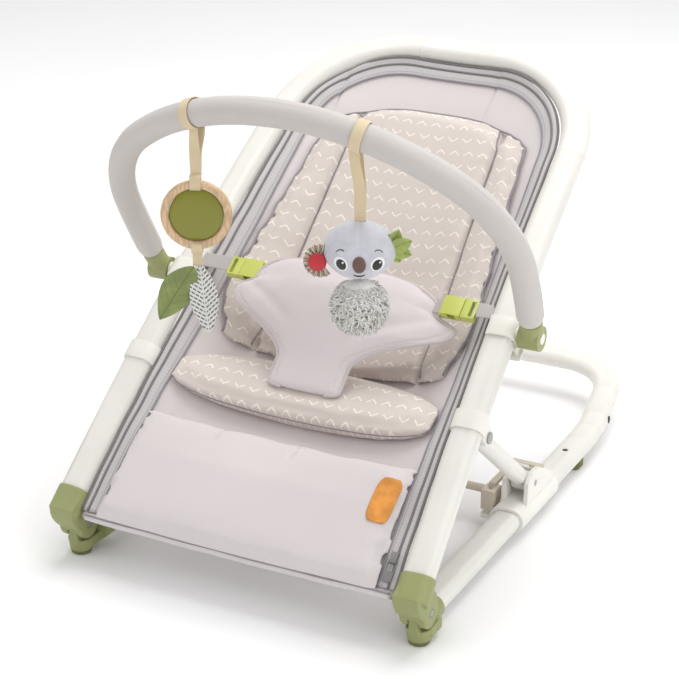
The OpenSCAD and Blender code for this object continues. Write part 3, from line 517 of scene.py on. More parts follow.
class Paint:
    """One material being built: a Principled shader and the nodes that feed it."""

    def __init__(self, name, **constants):
        self.material = bpy.data.materials.new(name)
        self.material.use_nodes = True
        self.tree = self.material.node_tree
        self.shader = self.tree.nodes["Principled BSDF"]
        for key, value in constants.items():
            self.shader.inputs[key.replace("_", " ")].default_value = value

    def node(self, kind, settings, *values, output=0, **named):
        """Adds a node: its settings first, then the values or links of its sockets by place or name."""
        new = self.tree.nodes.new(kind)
        for key, value in settings.items():
            setattr(new, key, value)
        pairs = [(new.inputs[i], v) for i, v in enumerate(values)]
        pairs += [(new.inputs[key.replace("_", " ")], v) for key, v in named.items()]
        for socket, value in pairs:
            self.join(socket, value)
        return Value(self, new.outputs[output])

    def join(self, socket, value):
        if isinstance(value, Value):
            self.tree.links.new(value.socket, socket)
        else:
            socket.default_value = value

    def feed(self, name, value):
        self.join(self.shader.inputs[name], value)

    def place(self):
        """Object coordinates."""
        return self.node("ShaderNodeTexCoord", {}, output=3)

    def cut(self):
        """The piece's own flat-cloth coordinates."""
        return self.node("ShaderNodeAttribute", {"attribute_name": "cut"}, output=1)

    def parts(self, vector):
        split = self.node("ShaderNodeSeparateXYZ", {}, vector).socket.node
        return [Value(self, o) for o in split.outputs]

    def noise(self, vector, scale, detail=3.0, rough=0.5):
        return self.node("ShaderNodeTexNoise", {}, Vector=vector, Scale=scale, Detail=detail,
                         Roughness=rough)

    def cells(self, vector, scale, feature="F1"):
        return self.node("ShaderNodeTexVoronoi", {"feature": feature}, Vector=vector, Scale=scale)

    def mix(self, amount, first, second):
        """Colour mix."""
        new = self.tree.nodes.new("ShaderNodeMix")
        new.data_type = "RGBA"
        for socket, value in ((new.inputs[0], amount), (new.inputs[6], first), (new.inputs[7], second)):
            self.join(socket, value)
        return Value(self, new.outputs[2])

    def relief(self, height, distance, strength=1.0, under=None):
        values = {"Height": height, "Distance": distance, "Strength": strength}
        if under is not None:
            values["Normal"] = under
        return self.node("ShaderNodeBump", {}, **values)


def shade(colour, factor):
    """A darker or lighter linear colour."""
    return tuple(min(c * factor, 1) for c in colour[:3]) + (1.0,)


def weave(paint, vector, pitch):
    """Height of a plain weave: two crossing sines, each raised where the other thread dives."""
    x, y, _ = paint.parts(vector)
    a, b = (x * (2 * math.pi / pitch)).sin(), (y * (2 * math.pi / pitch)).sin()
    return a * b * 0.5 + 0.5


def cloth(name, rgb, pitch=0.0007, grain=0.5, sheen=0.25, rough=0.85, on_cut=True, mottle=0.05):
    """Woven cloth: thread relief, slightly uneven dye and a soft sheen."""
    paint = Paint(name, Roughness=rough, Sheen_Weight=sheen, Sheen_Roughness=0.5)
    colour = linear(rgb)
    vector = paint.cut() if on_cut else paint.place()
    threads = weave(paint, vector, pitch)
    uneven = paint.noise(paint.place(), 28, 4)
    fine = paint.noise(paint.place(), 900, 2)
    tone = (uneven - 0.5) * (2 * mottle) + (fine - 0.5) * 0.12 + threads * 0.05
    body = paint.mix((tone + 0.5).step(0, 1), shade(colour, 0.86), shade(colour, 1.1))
    paint.feed("Base Color", body)
    coarse = paint.relief(uneven, 0.0012, 0.25)
    paint.feed("Normal", paint.relief(threads + fine * 0.6, 0.00025, grain, coarse))
    return paint, body


def chevrons(paint, pitch_x, pitch_s, wide, high, stroke):
    """Mask of small printed chevrons in rows, every second row turned over and shifted by half a pitch."""
    x, s, _ = paint.parts(paint.cut())
    row = s / pitch_s
    odd = ((row.floor() * 0.5).fract() * 2).step(0.4, 0.6)
    wave = paint.noise(paint.place(), 40, 2) - 0.5
    column = (x / pitch_x + odd * 0.5 + wave * 0.12)
    across = ((column.fract() - 0.5) * pitch_x).abs()
    turned = 1 - odd * 2
    up = ((row.fract() - 0.5) * pitch_s + wave * 0.002) * turned
    line = (up - (across * (-high / wide) + high * 0.5)).abs()
    inside = 1 - line.step(stroke * 0.6, stroke)
    return inside * (1 - across.step(wide * 0.92, wide * 1.04))


def plastic(name, rgb, rough=0.42, grain=0.00004, coat=0.0):
    """Moulded plastic: fine spark-eroded grain, faint flow marks and soft wear in its tone."""
    paint = Paint(name, Specular_IOR_Level=0.45, Coat_Weight=coat)
    colour = linear(rgb)
    grit = paint.noise(paint.place(), 1800, 2)
    cloud = paint.noise(paint.place(), 14, 5)
    paint.feed("Base Color", paint.mix(cloud.step(0.3, 0.7), shade(colour, 0.95), shade(colour, 1.04)))
    paint.feed("Roughness", cloud * 0.12 + (rough - 0.06))
    paint.feed("Normal", paint.relief(grit, grain, 0.6))
    return paint.material


def powder_coat():
    """Satin powder coat: orange-peel relief, specks and a little darkening low on the frame."""
    paint = Paint("powder_coat", Specular_IOR_Level=0.5, Coat_Weight=0.12, Coat_Roughness=0.3)
    colour = linear(dye("frame"))
    peel = paint.noise(paint.place(), 420, 2)
    speck = paint.cells(paint.place(), 900)
    cloud = paint.noise(paint.place(), 9, 4)
    # Below 5 cm the coat is blended towards a darker tone, most strongly at the floor.
    low_darkening = 1 - paint.parts(paint.place())[2].step(0.0, 0.05)
    tone = paint.mix(cloud.step(0.3, 0.7), shade(colour, 0.97), shade(colour, 1.02))
    paint.feed("Base Color", paint.mix(low_darkening * 0.18, tone, shade(colour, 0.82)))
    paint.feed("Roughness", cloud * 0.1 + speck * 0.05 + 0.33)
    paint.feed("Normal", paint.relief(peel, 0.00006, 0.5))
    return paint.material


def metal(name, rgb, rough):
    """Plated metal with fine turned scratches."""
    paint = Paint(name, Metallic=1.0)
    x, y, z = paint.parts(paint.place())
    scratch = paint.noise(paint.node("ShaderNodeCombineXYZ", {}, x * 4000, y * 300, z * 300), 1, 2)
    tone = paint.mix(paint.noise(paint.place(), 60).step(0.3, 0.7), shade(linear(rgb), 0.85), linear(rgb))
    paint.feed("Base Color", tone)
    paint.feed("Roughness", scratch * 0.15 + rough)
    paint.feed("Normal", paint.relief(scratch, 0.00002, 0.5))
    return paint.material


def wood():
    """Smooth maple: long wavering grain and fine pores, light oil finish."""
    paint = Paint("maple", Coat_Weight=0.08, Coat_Roughness=0.35)
    colour = linear(dye("wood"))
    x, y, z = paint.parts(paint.place())
    along = paint.node("ShaderNodeCombineXYZ", {}, x * 120, y * 120, z * 14)
    bend = paint.noise(paint.place(), 22, 3)
    rings = ((paint.noise(along, 1, 4) * 5 + bend * 3).fract() - 0.5).abs() * 2
    pores = paint.noise(along, 9, 2)
    tone = paint.mix(rings.step(0.1, 0.95), shade(colour, 0.8), shade(colour, 1.08))
    paint.feed("Base Color", paint.mix(pores.step(0.62, 0.75) * 0.35, tone, shade(colour, 0.6)))
    paint.feed("Roughness", rings * 0.12 + 0.48)
    paint.feed("Normal", paint.relief(pores, 0.00006, 0.4))
    return paint.material


def printed():
    """The insert's knit with its printed chevrons."""
    paint, body = cloth("printed_knit", dye("insert"), pitch=0.0009, mottle=0.04)
    mask = chevrons(paint, 0.0185, 0.0175, 0.0062, 0.0052, 0.0014)
    worn = mask * paint.noise(paint.place(), 500, 2).step(0.25, 0.5)
    paint.feed("Base Color", paint.mix(worn * 0.85, body, linear(dye("print"))))
    return paint.material


def zip_tape():
    """Zip tape: herringbone twill, stitch lines and the darker edges of the band."""
    paint, body = cloth("zip_tape_cloth", dye("tape"), pitch=0.0009)
    run, side, _ = paint.parts(paint.cut())
    bone = (run * 1400 + (side * 500).fract().math("PINGPONG", 0.5) * 6).sin()
    stitch = 1 - (side - 0.0155).abs().step(0.0003, 0.0007)
    dash = (run / 0.0032).fract().step(0.25, 0.35)
    edge = 1 - (side - 0.019).abs().step(0.0, 0.003)
    toned = paint.mix(bone * 0.06 + 0.06, body, (0.2, 0.2, 0.21, 1))
    toned = paint.mix(stitch * dash * 0.8, toned, linear((150, 146, 150)))
    paint.feed("Base Color", paint.mix(edge * 0.25, toned, linear((120, 116, 122))))
    return paint.material


def teeth():
    """Zip coil: close ribs across the line, lighter on their crests and darker between them as painted
    highlight and painted shade.
    """
    paint = Paint("zip_coil", Roughness=0.45)
    run = paint.parts(paint.cut())[0]
    rib = (run * (2 * math.pi / 0.0015)).sin() * 0.5 + 0.5
    colour = linear(dye("line"))
    # The crests of the ribs get the lighter copy of the colour and the grooves the darker one: painted
    # highlight and painted shade.
    paint.feed("Base Color", paint.mix(rib, shade(colour, 0.6), shade(colour, 1.3)))
    paint.feed("Normal", paint.relief(rib, 0.0004, 0.8))
    return paint.material


def ribbed_tape(name, rgb, pitch=0.0011):
    """Flat woven tape: ribs across and firm edges."""
    paint, body = cloth(name, rgb, pitch=0.0008, on_cut=False)
    run = paint.parts(paint.cut())[0]
    rib = (run * (2 * math.pi / pitch)).sin() * 0.5 + 0.5
    paint.feed("Base Color", paint.mix(rib * 0.18, body, shade(linear(rgb), 0.62)))
    paint.feed("Normal", paint.relief(rib, 0.0002, 0.7))
    return paint.material


def plush(name, rgb, size=1500, depth=0.0005):
    """Short pile: tight fibre noise in colour and relief, with a strong sheen."""
    paint = Paint(name, Roughness=0.95, Sheen_Weight=0.6, Sheen_Roughness=0.4)
    fibre = paint.noise(paint.place(), size, 3, 0.7)
    nap = paint.noise(paint.place(), 60, 4)
    colour = linear(rgb)
    light_tips = (fibre + nap * 0.6 - 0.3).step(0.2, 0.85)
    paint.feed("Base Color", paint.mix(light_tips, shade(colour, 0.78), shade(colour, 1.12)))
    paint.feed("Normal", paint.relief(fibre, depth, 0.8))
    return paint.material


def stripes():
    """Striped ruffle ribbon: red, olive and cream threads."""
    paint, body = cloth("striped_ribbon", dye("ruffle"), on_cut=False)
    run = paint.parts(paint.cut())[0]
    red = 1 - ((run / 0.0052).fract() - 0.3).abs().step(0.06, 0.1)
    olive = 1 - ((run / 0.0052).fract() - 0.72).abs().step(0.05, 0.09)
    body = paint.mix(red * 0.8, body, linear((150, 84, 70)))
    paint.feed("Base Color", paint.mix(olive * 0.8, body, linear((110, 104, 70))))
    return paint.material


def leaf_felt(name, rgb):
    """Leaf cloth: printed veins that lean off a middle rib, over mottled felt."""
    paint, body = cloth(name, rgb, on_cut=False, mottle=0.3)
    side, up, _ = paint.parts(paint.cut())
    rib = 1 - side.abs().step(0.0004, 0.0011)
    vein = 1 - (((up - side.abs() * 0.9) / 0.0095).fract() - 0.5).abs().step(0.035, 0.08)
    colour = linear(rgb)
    patch = paint.noise(paint.place(), 55, 3).step(0.35, 0.7)
    body = paint.mix(patch * 0.7, body, shade(colour, 1.45))
    paint.feed("Base Color", paint.mix(rib.most(vein * 0.6) * 0.7, body, shade(colour, 0.62)))
    paint.feed("Normal", paint.relief(rib.most(vein), 0.0004, -0.6))
    return paint.material


def dashes():
    """White leaf with short black dashes leaning off its middle line."""
    paint, body = cloth("dashed_print", (226, 226, 222), on_cut=False)
    side, up, _ = paint.parts(paint.cut())
    lane = (up - side.abs() * 0.8) / 0.0052
    bar = 1 - (lane.fract() - 0.5).abs().step(0.13, 0.2)
    gap = ((side.abs() / 0.0042) + (lane.floor() * 0.5).fract()).fract().step(0.22, 0.3)
    print_mask = bar * gap * side.abs().step(0.0006, 0.001) * 0.95
    paint.feed("Base Color", paint.mix(print_mask, body, (0.02, 0.02, 0.022, 1)))
    return paint.material


def leather_label():
    """Smooth orange label: faint grain and mottled tone, left blank."""
    paint = Paint("blank_label", Roughness=0.38, Coat_Weight=0.25, Coat_Roughness=0.25)
    colour = linear(dye("label"))
    cloud = paint.noise(paint.place(), 70, 4)
    pores = paint.cells(paint.place(), 900)
    paint.feed("Base Color", paint.mix(cloud.step(0.3, 0.75), shade(colour, 0.78), shade(colour, 1.15)))
    paint.feed("Normal", paint.relief(pores, 0.00012, 0.4))
    return paint.material


def rubber():
    """Matt grippy rubber with a dusty bloom."""
    paint = Paint("grip_rubber", Roughness=0.8)
    bloom = paint.noise(paint.place(), 120, 4)
    colour = linear(dye("rubber"))
    paint.feed("Base Color", paint.mix(bloom.step(0.35, 0.7), shade(colour, 0.8), shade(colour, 1.25)))
    paint.feed("Normal", paint.relief(paint.noise(paint.place(), 1500, 2), 0.0001, 0.6))
    return paint.material


# ---------- the sewn seat ----------

def cover_rows(low, high, count):
    """Stations up the cover: even on the legs, closer round the head corners."""
    t = np.linspace(0, 1, count)
    return low + (high - low) * np.sin(t * math.pi / 2) ** 0.8 if high > LEG else low + (high - low) * t


def cover_shape(x, s):
    """Height of the sewn cover: its dish with seams at the head, side folds and a rolled edge."""
    half = inner(s) - EDGE_GAP
    seam_left, seam_right = -132 + 0.10 * (s - 586), 53 + 0.12 * (s - 586)
    head = smooth((s - 535) / 30)
    groove = -2.4 * head * (bump_at(x - seam_left, 1.8) + bump_at(x - seam_right, 1.8))
    quilt = 2.2 * head * np.abs(np.sin((x + 132) * math.pi / 185)) ** 0.6
    share = np.abs(x) / half
    folds = 1.6 * ripple(x * 0.45, s, 5, 46) * smooth((share - 0.55) / 0.3) * smooth((640 - s) / 60)
    return cover_n(x, s) + groove + quilt + folds - 3.0 * smooth((share - 0.965) / 0.035)


def make_cover():
    """The padded cover: a dished sheet of two skins, closed round its edge."""
    s = cover_rows(-26, 664.5, 210)[:, None]
    u = np.sin(np.linspace(-1, 1, 170) * math.pi / 2)[None]
    x = u * (inner(s) - EDGE_GAP)
    s = s + 0 * x
    top = cover_shape(x, s)
    drop = 5.5 * dome(u, 8)
    cut = laid(x, s, top)
    piece = slab("quilted_cover", seat(x, s, top), seat(x, s, top - 0.6 - drop), cut)
    paint, _ = cloth("cover_twill", dye("cover"), mottle=0.035)
    finish_piece(piece, "seat", paint.material, "cover_cloth", "seat_cover")


def leg_half(s):
    return inner(s) - 24.5


def make_leg_panel():
    """The filled panel under the legs: a crowned pad, blown up as cloth, with pulled seams at its edges."""
    def half(v):
        return leg_half(45 + 138 * (v - 0.5)) + 4

    def low(x, s, u, v):
        return cover_n(x, s) + 0.4

    def high(x, s, u, v):
        crown = measure("leg_crown") * dome(u, 8) * dome(2 * v - 1, 6) + 3
        return low(x, s, u, v) + crown

    piece = pad("leg_cushion", half, lambda x, v: -27 + 143 * v, low, high,
                rows=90, around=160, square=0.8, rim=0.6)
    puff(piece, 0.0045, 0.005)

    def change(x, s, n):
        base = cover_n(x, s)
        upper = smooth((n - base) / 6)
        rim = smooth((s - 60) / 50)
        edge = smooth((np.abs(x) / leg_half(s) - 0.72) / 0.25)
        front = smooth((-2 - s) / 20)
        pulls = 1.3 * ripple(x * 1.2, s * 0.25, 3, 26) * front
        pulls = pulls + 1.1 * ripple(x * 0.3, s * 1.2, 8, 30) * edge
        tucks = -3.2 * (bump_at(x + 72, 2.2) + bump_at(x - 22, 2.2)) * smooth((s - 84) / 16)
        large = 1.8 * ripple(x, s * 0.8, 11, 120)
        return upper * (pulls + tucks + large * (1 - front) + 0.8 * ripple(x, s, 14, 44) * rim)

    work_surface(piece, change)
    paint, _ = cloth("cover_twill_panel", dye("cover"), mottle=0.035)
    finish_piece(piece, "seat", paint.material, "cover_cloth", "leg_panel")


def seat_line(name, x, s, n, radius, material, slot, squash=1.0, on=None, lift=0.0):
    """A thin round line sewn along points of the seat, or laid on the surface of the piece on."""
    path = seat(x, s, n)
    up = seat(x, s, np.asarray(n) + 1) - path
    up /= np.linalg.norm(up, axis=1)[:, None]
    if on is not None:
        path = hug(on, path, lift)
    across, over = frames_along(path, up)
    piece = sweep(name, path, across, over, radius * MM, radius * squash * MM, around=12)
    return finish_piece(piece, "seat", material, slot)


def round_head(inset, count=130):
    """x and s along the cover's edge, inset from the tube, from the right end round the head."""
    angle = np.linspace(0, math.pi / 2, 30)[1:]
    radius = IN_R - inset
    leg = np.linspace(-20, LEG - CORNER_DROP, count - 29)
    x = np.concatenate([inner(leg) - inset, BAR_HALF + radius * np.cos(angle)])
    s = np.concatenate([leg, LEG - CORNER_DROP + radius * np.sin(angle)])
    bar = np.linspace(BAR_HALF, -BAR_HALF, 60)[1:-1]
    return (np.concatenate([x, bar, -x[::-1]]),
            np.concatenate([s, np.full(58, s[-1]), s[::-1]]))


def make_zip():
    """The zip band just inside the tubes: tape, coil, edge piping, and a dark line on the tube's inner edge
    that is painted shade for the shadow gap there.
    """
    x1, s1 = round_head(4.4)
    x2, s2 = round_head(23.0)
    t = np.linspace(0, 1, 14)[None]
    x, s = x1[:, None] * (1 - t) + x2[:, None] * t, s1[:, None] * (1 - t) + s2[:, None] * t
    n = cover_shape(x, s) + 0.5 + 1.0 * bump_at(t - 0.5, 0.3) + 2.4 * smooth((0.35 - t) / 0.35)
    run = np.concatenate([[0], np.cumsum(np.hypot(np.diff(x1), np.diff(s1)))])[:, None] + 0 * t
    side = 19 * t + 0 * x
    cut = laid(run, side, 0 * x)
    piece = slab("zip_band", seat(x, s, n + 1.0), seat(x, s, n - 0.2), cut)
    finish_piece(piece, "seat", zip_tape(), "tape_cloth", "zip_tape")
    coil = teeth()
    for name, inset, lift, radius, squash, material in (
            ("zip_coil", 11.0, 2.6, 1.5, 0.8, coil),
            # A dark round line in the coil's colour at the tubes' inner edge: painted shade standing for the
            # shadow gap between tube and cover.
            ("edge_welt", 3.2, 3.6, 1.6, 1.0, coil),
            ("band_piping", 23.4, 1.6, 1.3, 1.0, piping_cloth())):
        xs, ss = round_head(inset)
        seat_line(name, xs, ss, cover_shape(xs, ss) + lift, radius, material, "tape_cloth", squash)


def piping_cloth():
    """One shared darker cloth for pipings and seam lines."""
    found = bpy.data.materials.get("seam_piping")
    return found or cloth("seam_piping", (150, 144, 150), on_cut=False)[0].material


def make_hem():
    """The front hem: a folded band that hangs 15 mm below the leg cushion's front seam, and its piping."""
    x = np.linspace(-187, 187, 150)
    a = np.linspace(0, 2 * math.pi, 36, endpoint=False)
    deep = 8.2 + 0.7 * ripple(x, 0 * x, 4, 70) - 2.0 * smooth((np.abs(x) - 165) / 20)
    s0 = -24.5 + 1.2 * ripple(x, 0 * x, 6, 130)
    n0 = cover_n(x, -24) - 2.5
    s = s0[:, None] + 4.2 * np.cos(a) * (1 + 0.1 * np.sin(a))
    n = n0[:, None] - deep[:, None] * 0.4 + deep[:, None] * np.sin(a)
    xx = x[:, None] + 0 * s
    rings = seat(xx, s, n)
    piece = skin("front_hem", rings, laid(xx, s + n, n))
    paint, _ = cloth("hem_twill", dye("cover"), mottle=0.05)
    finish_piece(piece, "seat", paint.material, "cover_cloth")
    seat_line("hem_piping", x, s0 - 0.6, n0 + 0.58 * deep + 1.0, measure("piping"), piping_cloth(),
              "cover_cloth")


def insert_half(s):
    legs = 159 - 26 * (s - 296) / 249
    legs = np.where(s < 296, 159 - 0.3 * (296 - s), legs)
    return np.where(s < 545, legs, 133 * np.sqrt(np.maximum(1 - ((s - 545) / 50) ** 2, 0.0)) + 0.2)


def channel_x(s):
    """Half distance between the two sewn channels of the insert's back."""
    return 97 - 0.03 * (s - 440)


def make_insert_back():
    """The newborn insert's back: a pad in three lobes with two sewn channels and edge piping."""
    def low(x, s, u, v):
        return cover_n(x, s) + 3.2

    def high(x, s, u, v):
        side = np.where(np.abs(x) < channel_x(s), 1.0, 0.86)
        return low(x, s, u, v) + 2 + measure("back_loft") * side * dome(u, 6) * dome((s - 415) / 181, 6)

    piece = pad("insert_back_pad", lambda v: insert_half(236 + 358.5 * v), lambda x, v: 236 + 358.5 * v,
                low, high, rows=130, around=150)
    puff(piece, 0.0048, 0.005)

    def change(x, s, n):
        upper = smooth((n - cover_n(x, s) - 2) / 6)
        gap = np.abs(x) - channel_x(s)
        groove = -measure("channel_depth") * bump_at(gap, 3.4) - 3.5 * bump_at(gap, 12)
        folds = 0.9 * ripple(x, s, 21, 60) + 0.8 * ripple(x * 0.3, s * 1.4, 23, 26) * bump_at(gap, 20)
        return upper * (groove + folds)

    work_surface(piece, change)
    finish_piece(piece, "seat", printed(), "insert_cloth", "insert_back")
    s = np.linspace(242, 586, 110)
    for side, sign in (("right", 1), ("left", -1)):
        x = sign * channel_x(s)
        seat_line("channel_piping_" + side, x, s, cover_n(x, s) + 12, 1.1, piping_cloth(), "insert_cloth",
                  on=piece, lift=0.5)
    arc = np.linspace(0, math.pi, 70)
    leg = np.linspace(242, 545, 80)
    s = np.concatenate([leg[:-1], 545 + 49.5 * np.sin(arc), leg[-2::-1]])
    x = np.concatenate([insert_half(leg[:-1]), 133 * np.cos(arc), -insert_half(leg[-2::-1])])
    seat_line("insert_edge_piping", x * 1.01, s, cover_n(x, s) + 8, 1.3, piping_cloth(), "insert_cloth",
              on=piece, lift=0.6)


def oval_front(x):
    return 172 - 27 * np.sqrt(np.maximum(1 - np.abs(x / 169) ** 4, 0))


def oval_rear(x):
    return 172 + 50 * np.maximum(1 - np.abs(x / 169) ** 2.3, 0) ** (1 / 2.3)


def oval_mid(x, s):
    """Middle plane of the oval cushion: it falls towards the head end and sags a little across."""
    return 6 - 0.3 * (s - 171) - 20 * (1 - (x / 168) ** 2) - OVAL_T / 2


def make_insert_cushion():
    """The oval seat cushion: a flat, full pad blown up as cloth, with a cord round its lower edge."""
    def centre(x, v):
        return oval_front(x) * (1 - v) + oval_rear(x) * v

    def rim(u, v):
        return dome(u, 8) * dome(2 * v - 1, 8)

    def low(x, s, u, v):
        middle = oval_mid(x, s)
        return np.maximum(cover_n(x, s) + 3.8, middle - 2 - (OVAL_T / 2 + 6) * rim(u, v))

    def high(x, s, u, v):
        return oval_mid(x, s) + 2 + (measure("cushion_rise") - 4) * rim(u, v)

    piece = pad("oval_cushion", lambda v: 164.0 + 0 * v, centre, low, high,
                rows=70, around=150, square=0.8, rim=0.7)
    puff(piece, 0.004, 0.0045)

    def change(x, s, n):
        upper = smooth((n - oval_mid(x, s)) / 8)
        return upper * (1.4 * ripple(x, s, 31, 80) + 0.5 * ripple(x, s, 33, 26))

    work_surface(piece, change)
    finish_piece(piece, "seat", bpy.data.materials["printed_knit"], "insert_cloth", "insert_cushion")
    a = np.linspace(-0.5 * math.pi, 1.5 * math.pi, 240)
    x = 166 * np.sin(a)
    s = np.where(np.cos(a) > 0, oval_front(x) - 3, oval_rear(x) + 3)
    seat_line("cushion_seam_cord", x, s, oval_mid(x, s) - 4.5, 0.9, piping_cloth(), "insert_cloth",
              on=piece, lift=0.1)


def lap_half(v):
    wing = 92 * smooth((v - 0.22) / 0.5) - 26 * smooth((v - 0.74) / 0.08) - 16 * smooth((v - 0.88) / 0.12)
    return 45 + wing


def lap_aside(v):
    return 12 * smooth(v / 0.7)


def lap_mid(x, v):
    mid = -9 + 43 * smooth(v / 0.8)
    return mid - (mid - 5) * np.minimum((np.abs(x) / 130) ** 2, 1.2) * smooth((v - 0.1) / 0.3)


def make_lap_pad():
    """The lap pad: a thin pad, narrow between the legs and wide over the waist, with a bound edge."""
    def half(v):
        return lap_half(v) * (0.4 + 0.6 * dome(2 * v - 1, 40)) - 1.5

    def low(x, s, u, v):
        return lap_mid(x, v) - 1.6

    def high(x, s, u, v):
        return lap_mid(x, v) + 1.6 + measure("lap_loft") * dome(u, 6) * dome(2 * v - 1, 8)

    piece = pad("lap_pad_soft", half, lambda x, v: 178 + 140 * v, low, high,
                rows=150, around=150, square=0.7,
                aside=lap_aside)

    def change(x, s, n):
        v = (s - 178) / 140
        share = x - lap_aside(v)
        folds = 1.2 * ripple(x, s, 41, 90)
        folds = folds + 1.3 * ripple(x * 0.5, s * 1.3, 43, 34) * smooth((v - 0.25) / 0.3)
        stitch = -1.3 * bump_at(np.abs(share) - (lap_half(v) - 9), 1.2) * smooth((v - 0.02) / 0.05)
        tug = -2.0 * bump_at(v - 0.3 - 0.004 * np.abs(share), 0.05) * smooth((np.abs(share) - 20) / 40)
        return folds + stitch + tug

    work_surface(piece, change)
    paint, _ = cloth("lap_brushed", dye("lap"), pitch=0.0008, sheen=0.35, mottle=0.04)
    finish_piece(piece, "seat", paint.material, "pad_cloth", "lap_pad")
    v = 0.5 - 0.5 * np.cos(np.linspace(0.09, math.pi - 0.03, 150))
    x = half(v)
    top = np.linspace(x[-1], -x[-1], 60)[1:-1]
    vv = np.concatenate([v, np.full(58, v[-1]), v[::-1]])
    xx = np.concatenate([x, top, -x[::-1]]) + lap_aside(vv)
    ss = 178 + 140 * vv
    paint, _ = cloth("lap_binding", tuple(0.93 * part for part in dye("lap")), on_cut=False)
    seat_line("lap_binding_tape", xx, ss, lap_mid(xx, vv) + 1, 2.3, paint.material, "pad_cloth",
              on=piece, lift=0.4)


def strap(name, centre_x, centre_s, centre_n, width, body, slot, replaced=None, ply=1.6):
    """Flat webbing along points of the seat: a thin rectangle with soft edges on its own path."""
    path = seat(centre_x, centre_s, centre_n)
    up = seat(centre_x, centre_s, np.asarray(centre_n) + 1) - path
    up /= np.linalg.norm(up, axis=1)[:, None]
    across, over = frames_along(path, up)
    piece = sweep(name, path, across, over, width / 2 * MM, ply / 2 * MM, power=0.35, around=28)
    nodes = (replaced,) if replaced else ()
    webbing = bpy.data.materials.get("grey_webbing") or ribbed_tape("grey_webbing", dye("webbing"))
    return finish_piece(piece, body, webbing, slot, *nodes)


def make_straps():
    """Waist webbing from each tube to its buckle, and the loop that holds the socket to the lap pad."""
    t = np.linspace(0, 1, 40)
    for side, sign in (("left", -1), ("right", 1)):
        off = BUCKLE_OFF * sign
        x = sign * (153 + off + (31.5 - off) * t)
        n = 14.4 - 10 * smooth(t) + 1.2 * np.sin(t * math.pi) + 0.6
        strap(f"waist_webbing_{side}", x, BUCKLE_S + 8 * t, n, 19, "seat", "webbing_grey",
              "webbing_" + side)
        x = sign * (92 + off + 23.5 * t)
        strap(f"socket_loop_{side}", x, BUCKLE_S - 3 + 3 * t, 10.0 + 3.0 * t, 19, "seat", "webbing_grey",
              ply=2.2)


def make_label():
    """The blank label: a rounded slip with a raised rim, laid on the leg cushion."""
    cushion = bpy.data.objects["leg_cushion"]
    v = np.linspace(-1, 1, 41)[:, None]
    u = np.linspace(-1, 1, 25)[None]
    x = 150 + 13.4 * u * np.sqrt(1 - 0.55 * np.abs(v) ** 5)
    s = 67 + 26.5 * v * np.sqrt(1 - 0.06 * np.abs(u) ** 4)
    ground = unseat(hug(cushion, seat(x, s, cover_n(x, s) + 30).reshape(-1, 3), 0.2))
    n = ground[2].reshape(x.shape) + 0.5 * bump_at(np.maximum(np.abs(u), np.abs(v)) - 0.88, 0.06)
    for _ in range(4):
        n[1:-1, 1:-1] = 0.25 * (n[:-2, 1:-1] + n[2:, 1:-1] + n[1:-1, :-2] + n[1:-1, 2:])
    piece = slab("blank_label_slip", seat(x, s, n + 1.3), seat(x, s, n - 0.8), laid(x, s, n))
    finish_piece(piece, "seat", leather_label(), "label_orange", "label_patch")


# ---------- toy arch and toys ----------

ARCH_O = seat(0.0, ARCH_S, 0.0)
CROWN_R, CROWN_A = 300.0, math.radians(38)
SIDE_R = 146.0
FOOT_R, FOOT_A = 762.0, math.radians(8.3)
ARCH_H = 287.0
SLEEVE_R = 15.0


def arch_world(x, y, z=0.0):
    """A point of the arch's own plane (x across, y up the arch, z square to it) in the row's frame."""
    x, y, z = np.broadcast_arrays(*(np.asarray(a, float) * MM for a in (x, y, z)))
    return np.stack([x, ARCH_O[1] + y * math.cos(ARCH_LEAN) - z * math.sin(ARCH_LEAN),
                     ARCH_O[2] + y * math.sin(ARCH_LEAN) + z * math.cos(ARCH_LEAN)], -1)


def arch_line(start):
    """x and y of the arch's middle line: foot, side and crown arcs of one half, then their mirror."""
    cx, cy = CROWN_R * math.sin(CROWN_A), ARCH_H - CROWN_R * (1 - math.cos(CROWN_A))
    side_x, side_y = cx - SIDE_R * math.sin(CROWN_A), cy - SIDE_R * math.cos(CROWN_A)
    foot = np.linspace(-FOOT_A + start, 0, 16)[:-1]
    side = np.linspace(0, math.pi / 2 - CROWN_A, 40)[:-1]
    crown = np.linspace(CROWN_A, 0, 50)
    x = np.concatenate([side_x + SIDE_R - FOOT_R + FOOT_R * np.cos(foot),
                        side_x + SIDE_R * np.cos(side),
                        CROWN_R * np.sin(crown)])
    y = np.concatenate([side_y + FOOT_R * np.sin(foot),
                        side_y + SIDE_R * np.sin(side),
                        ARCH_H - CROWN_R * (1 - np.cos(crown))])
    return np.concatenate([x, -x[-2::-1]]), np.concatenate([y, y[-2::-1]])


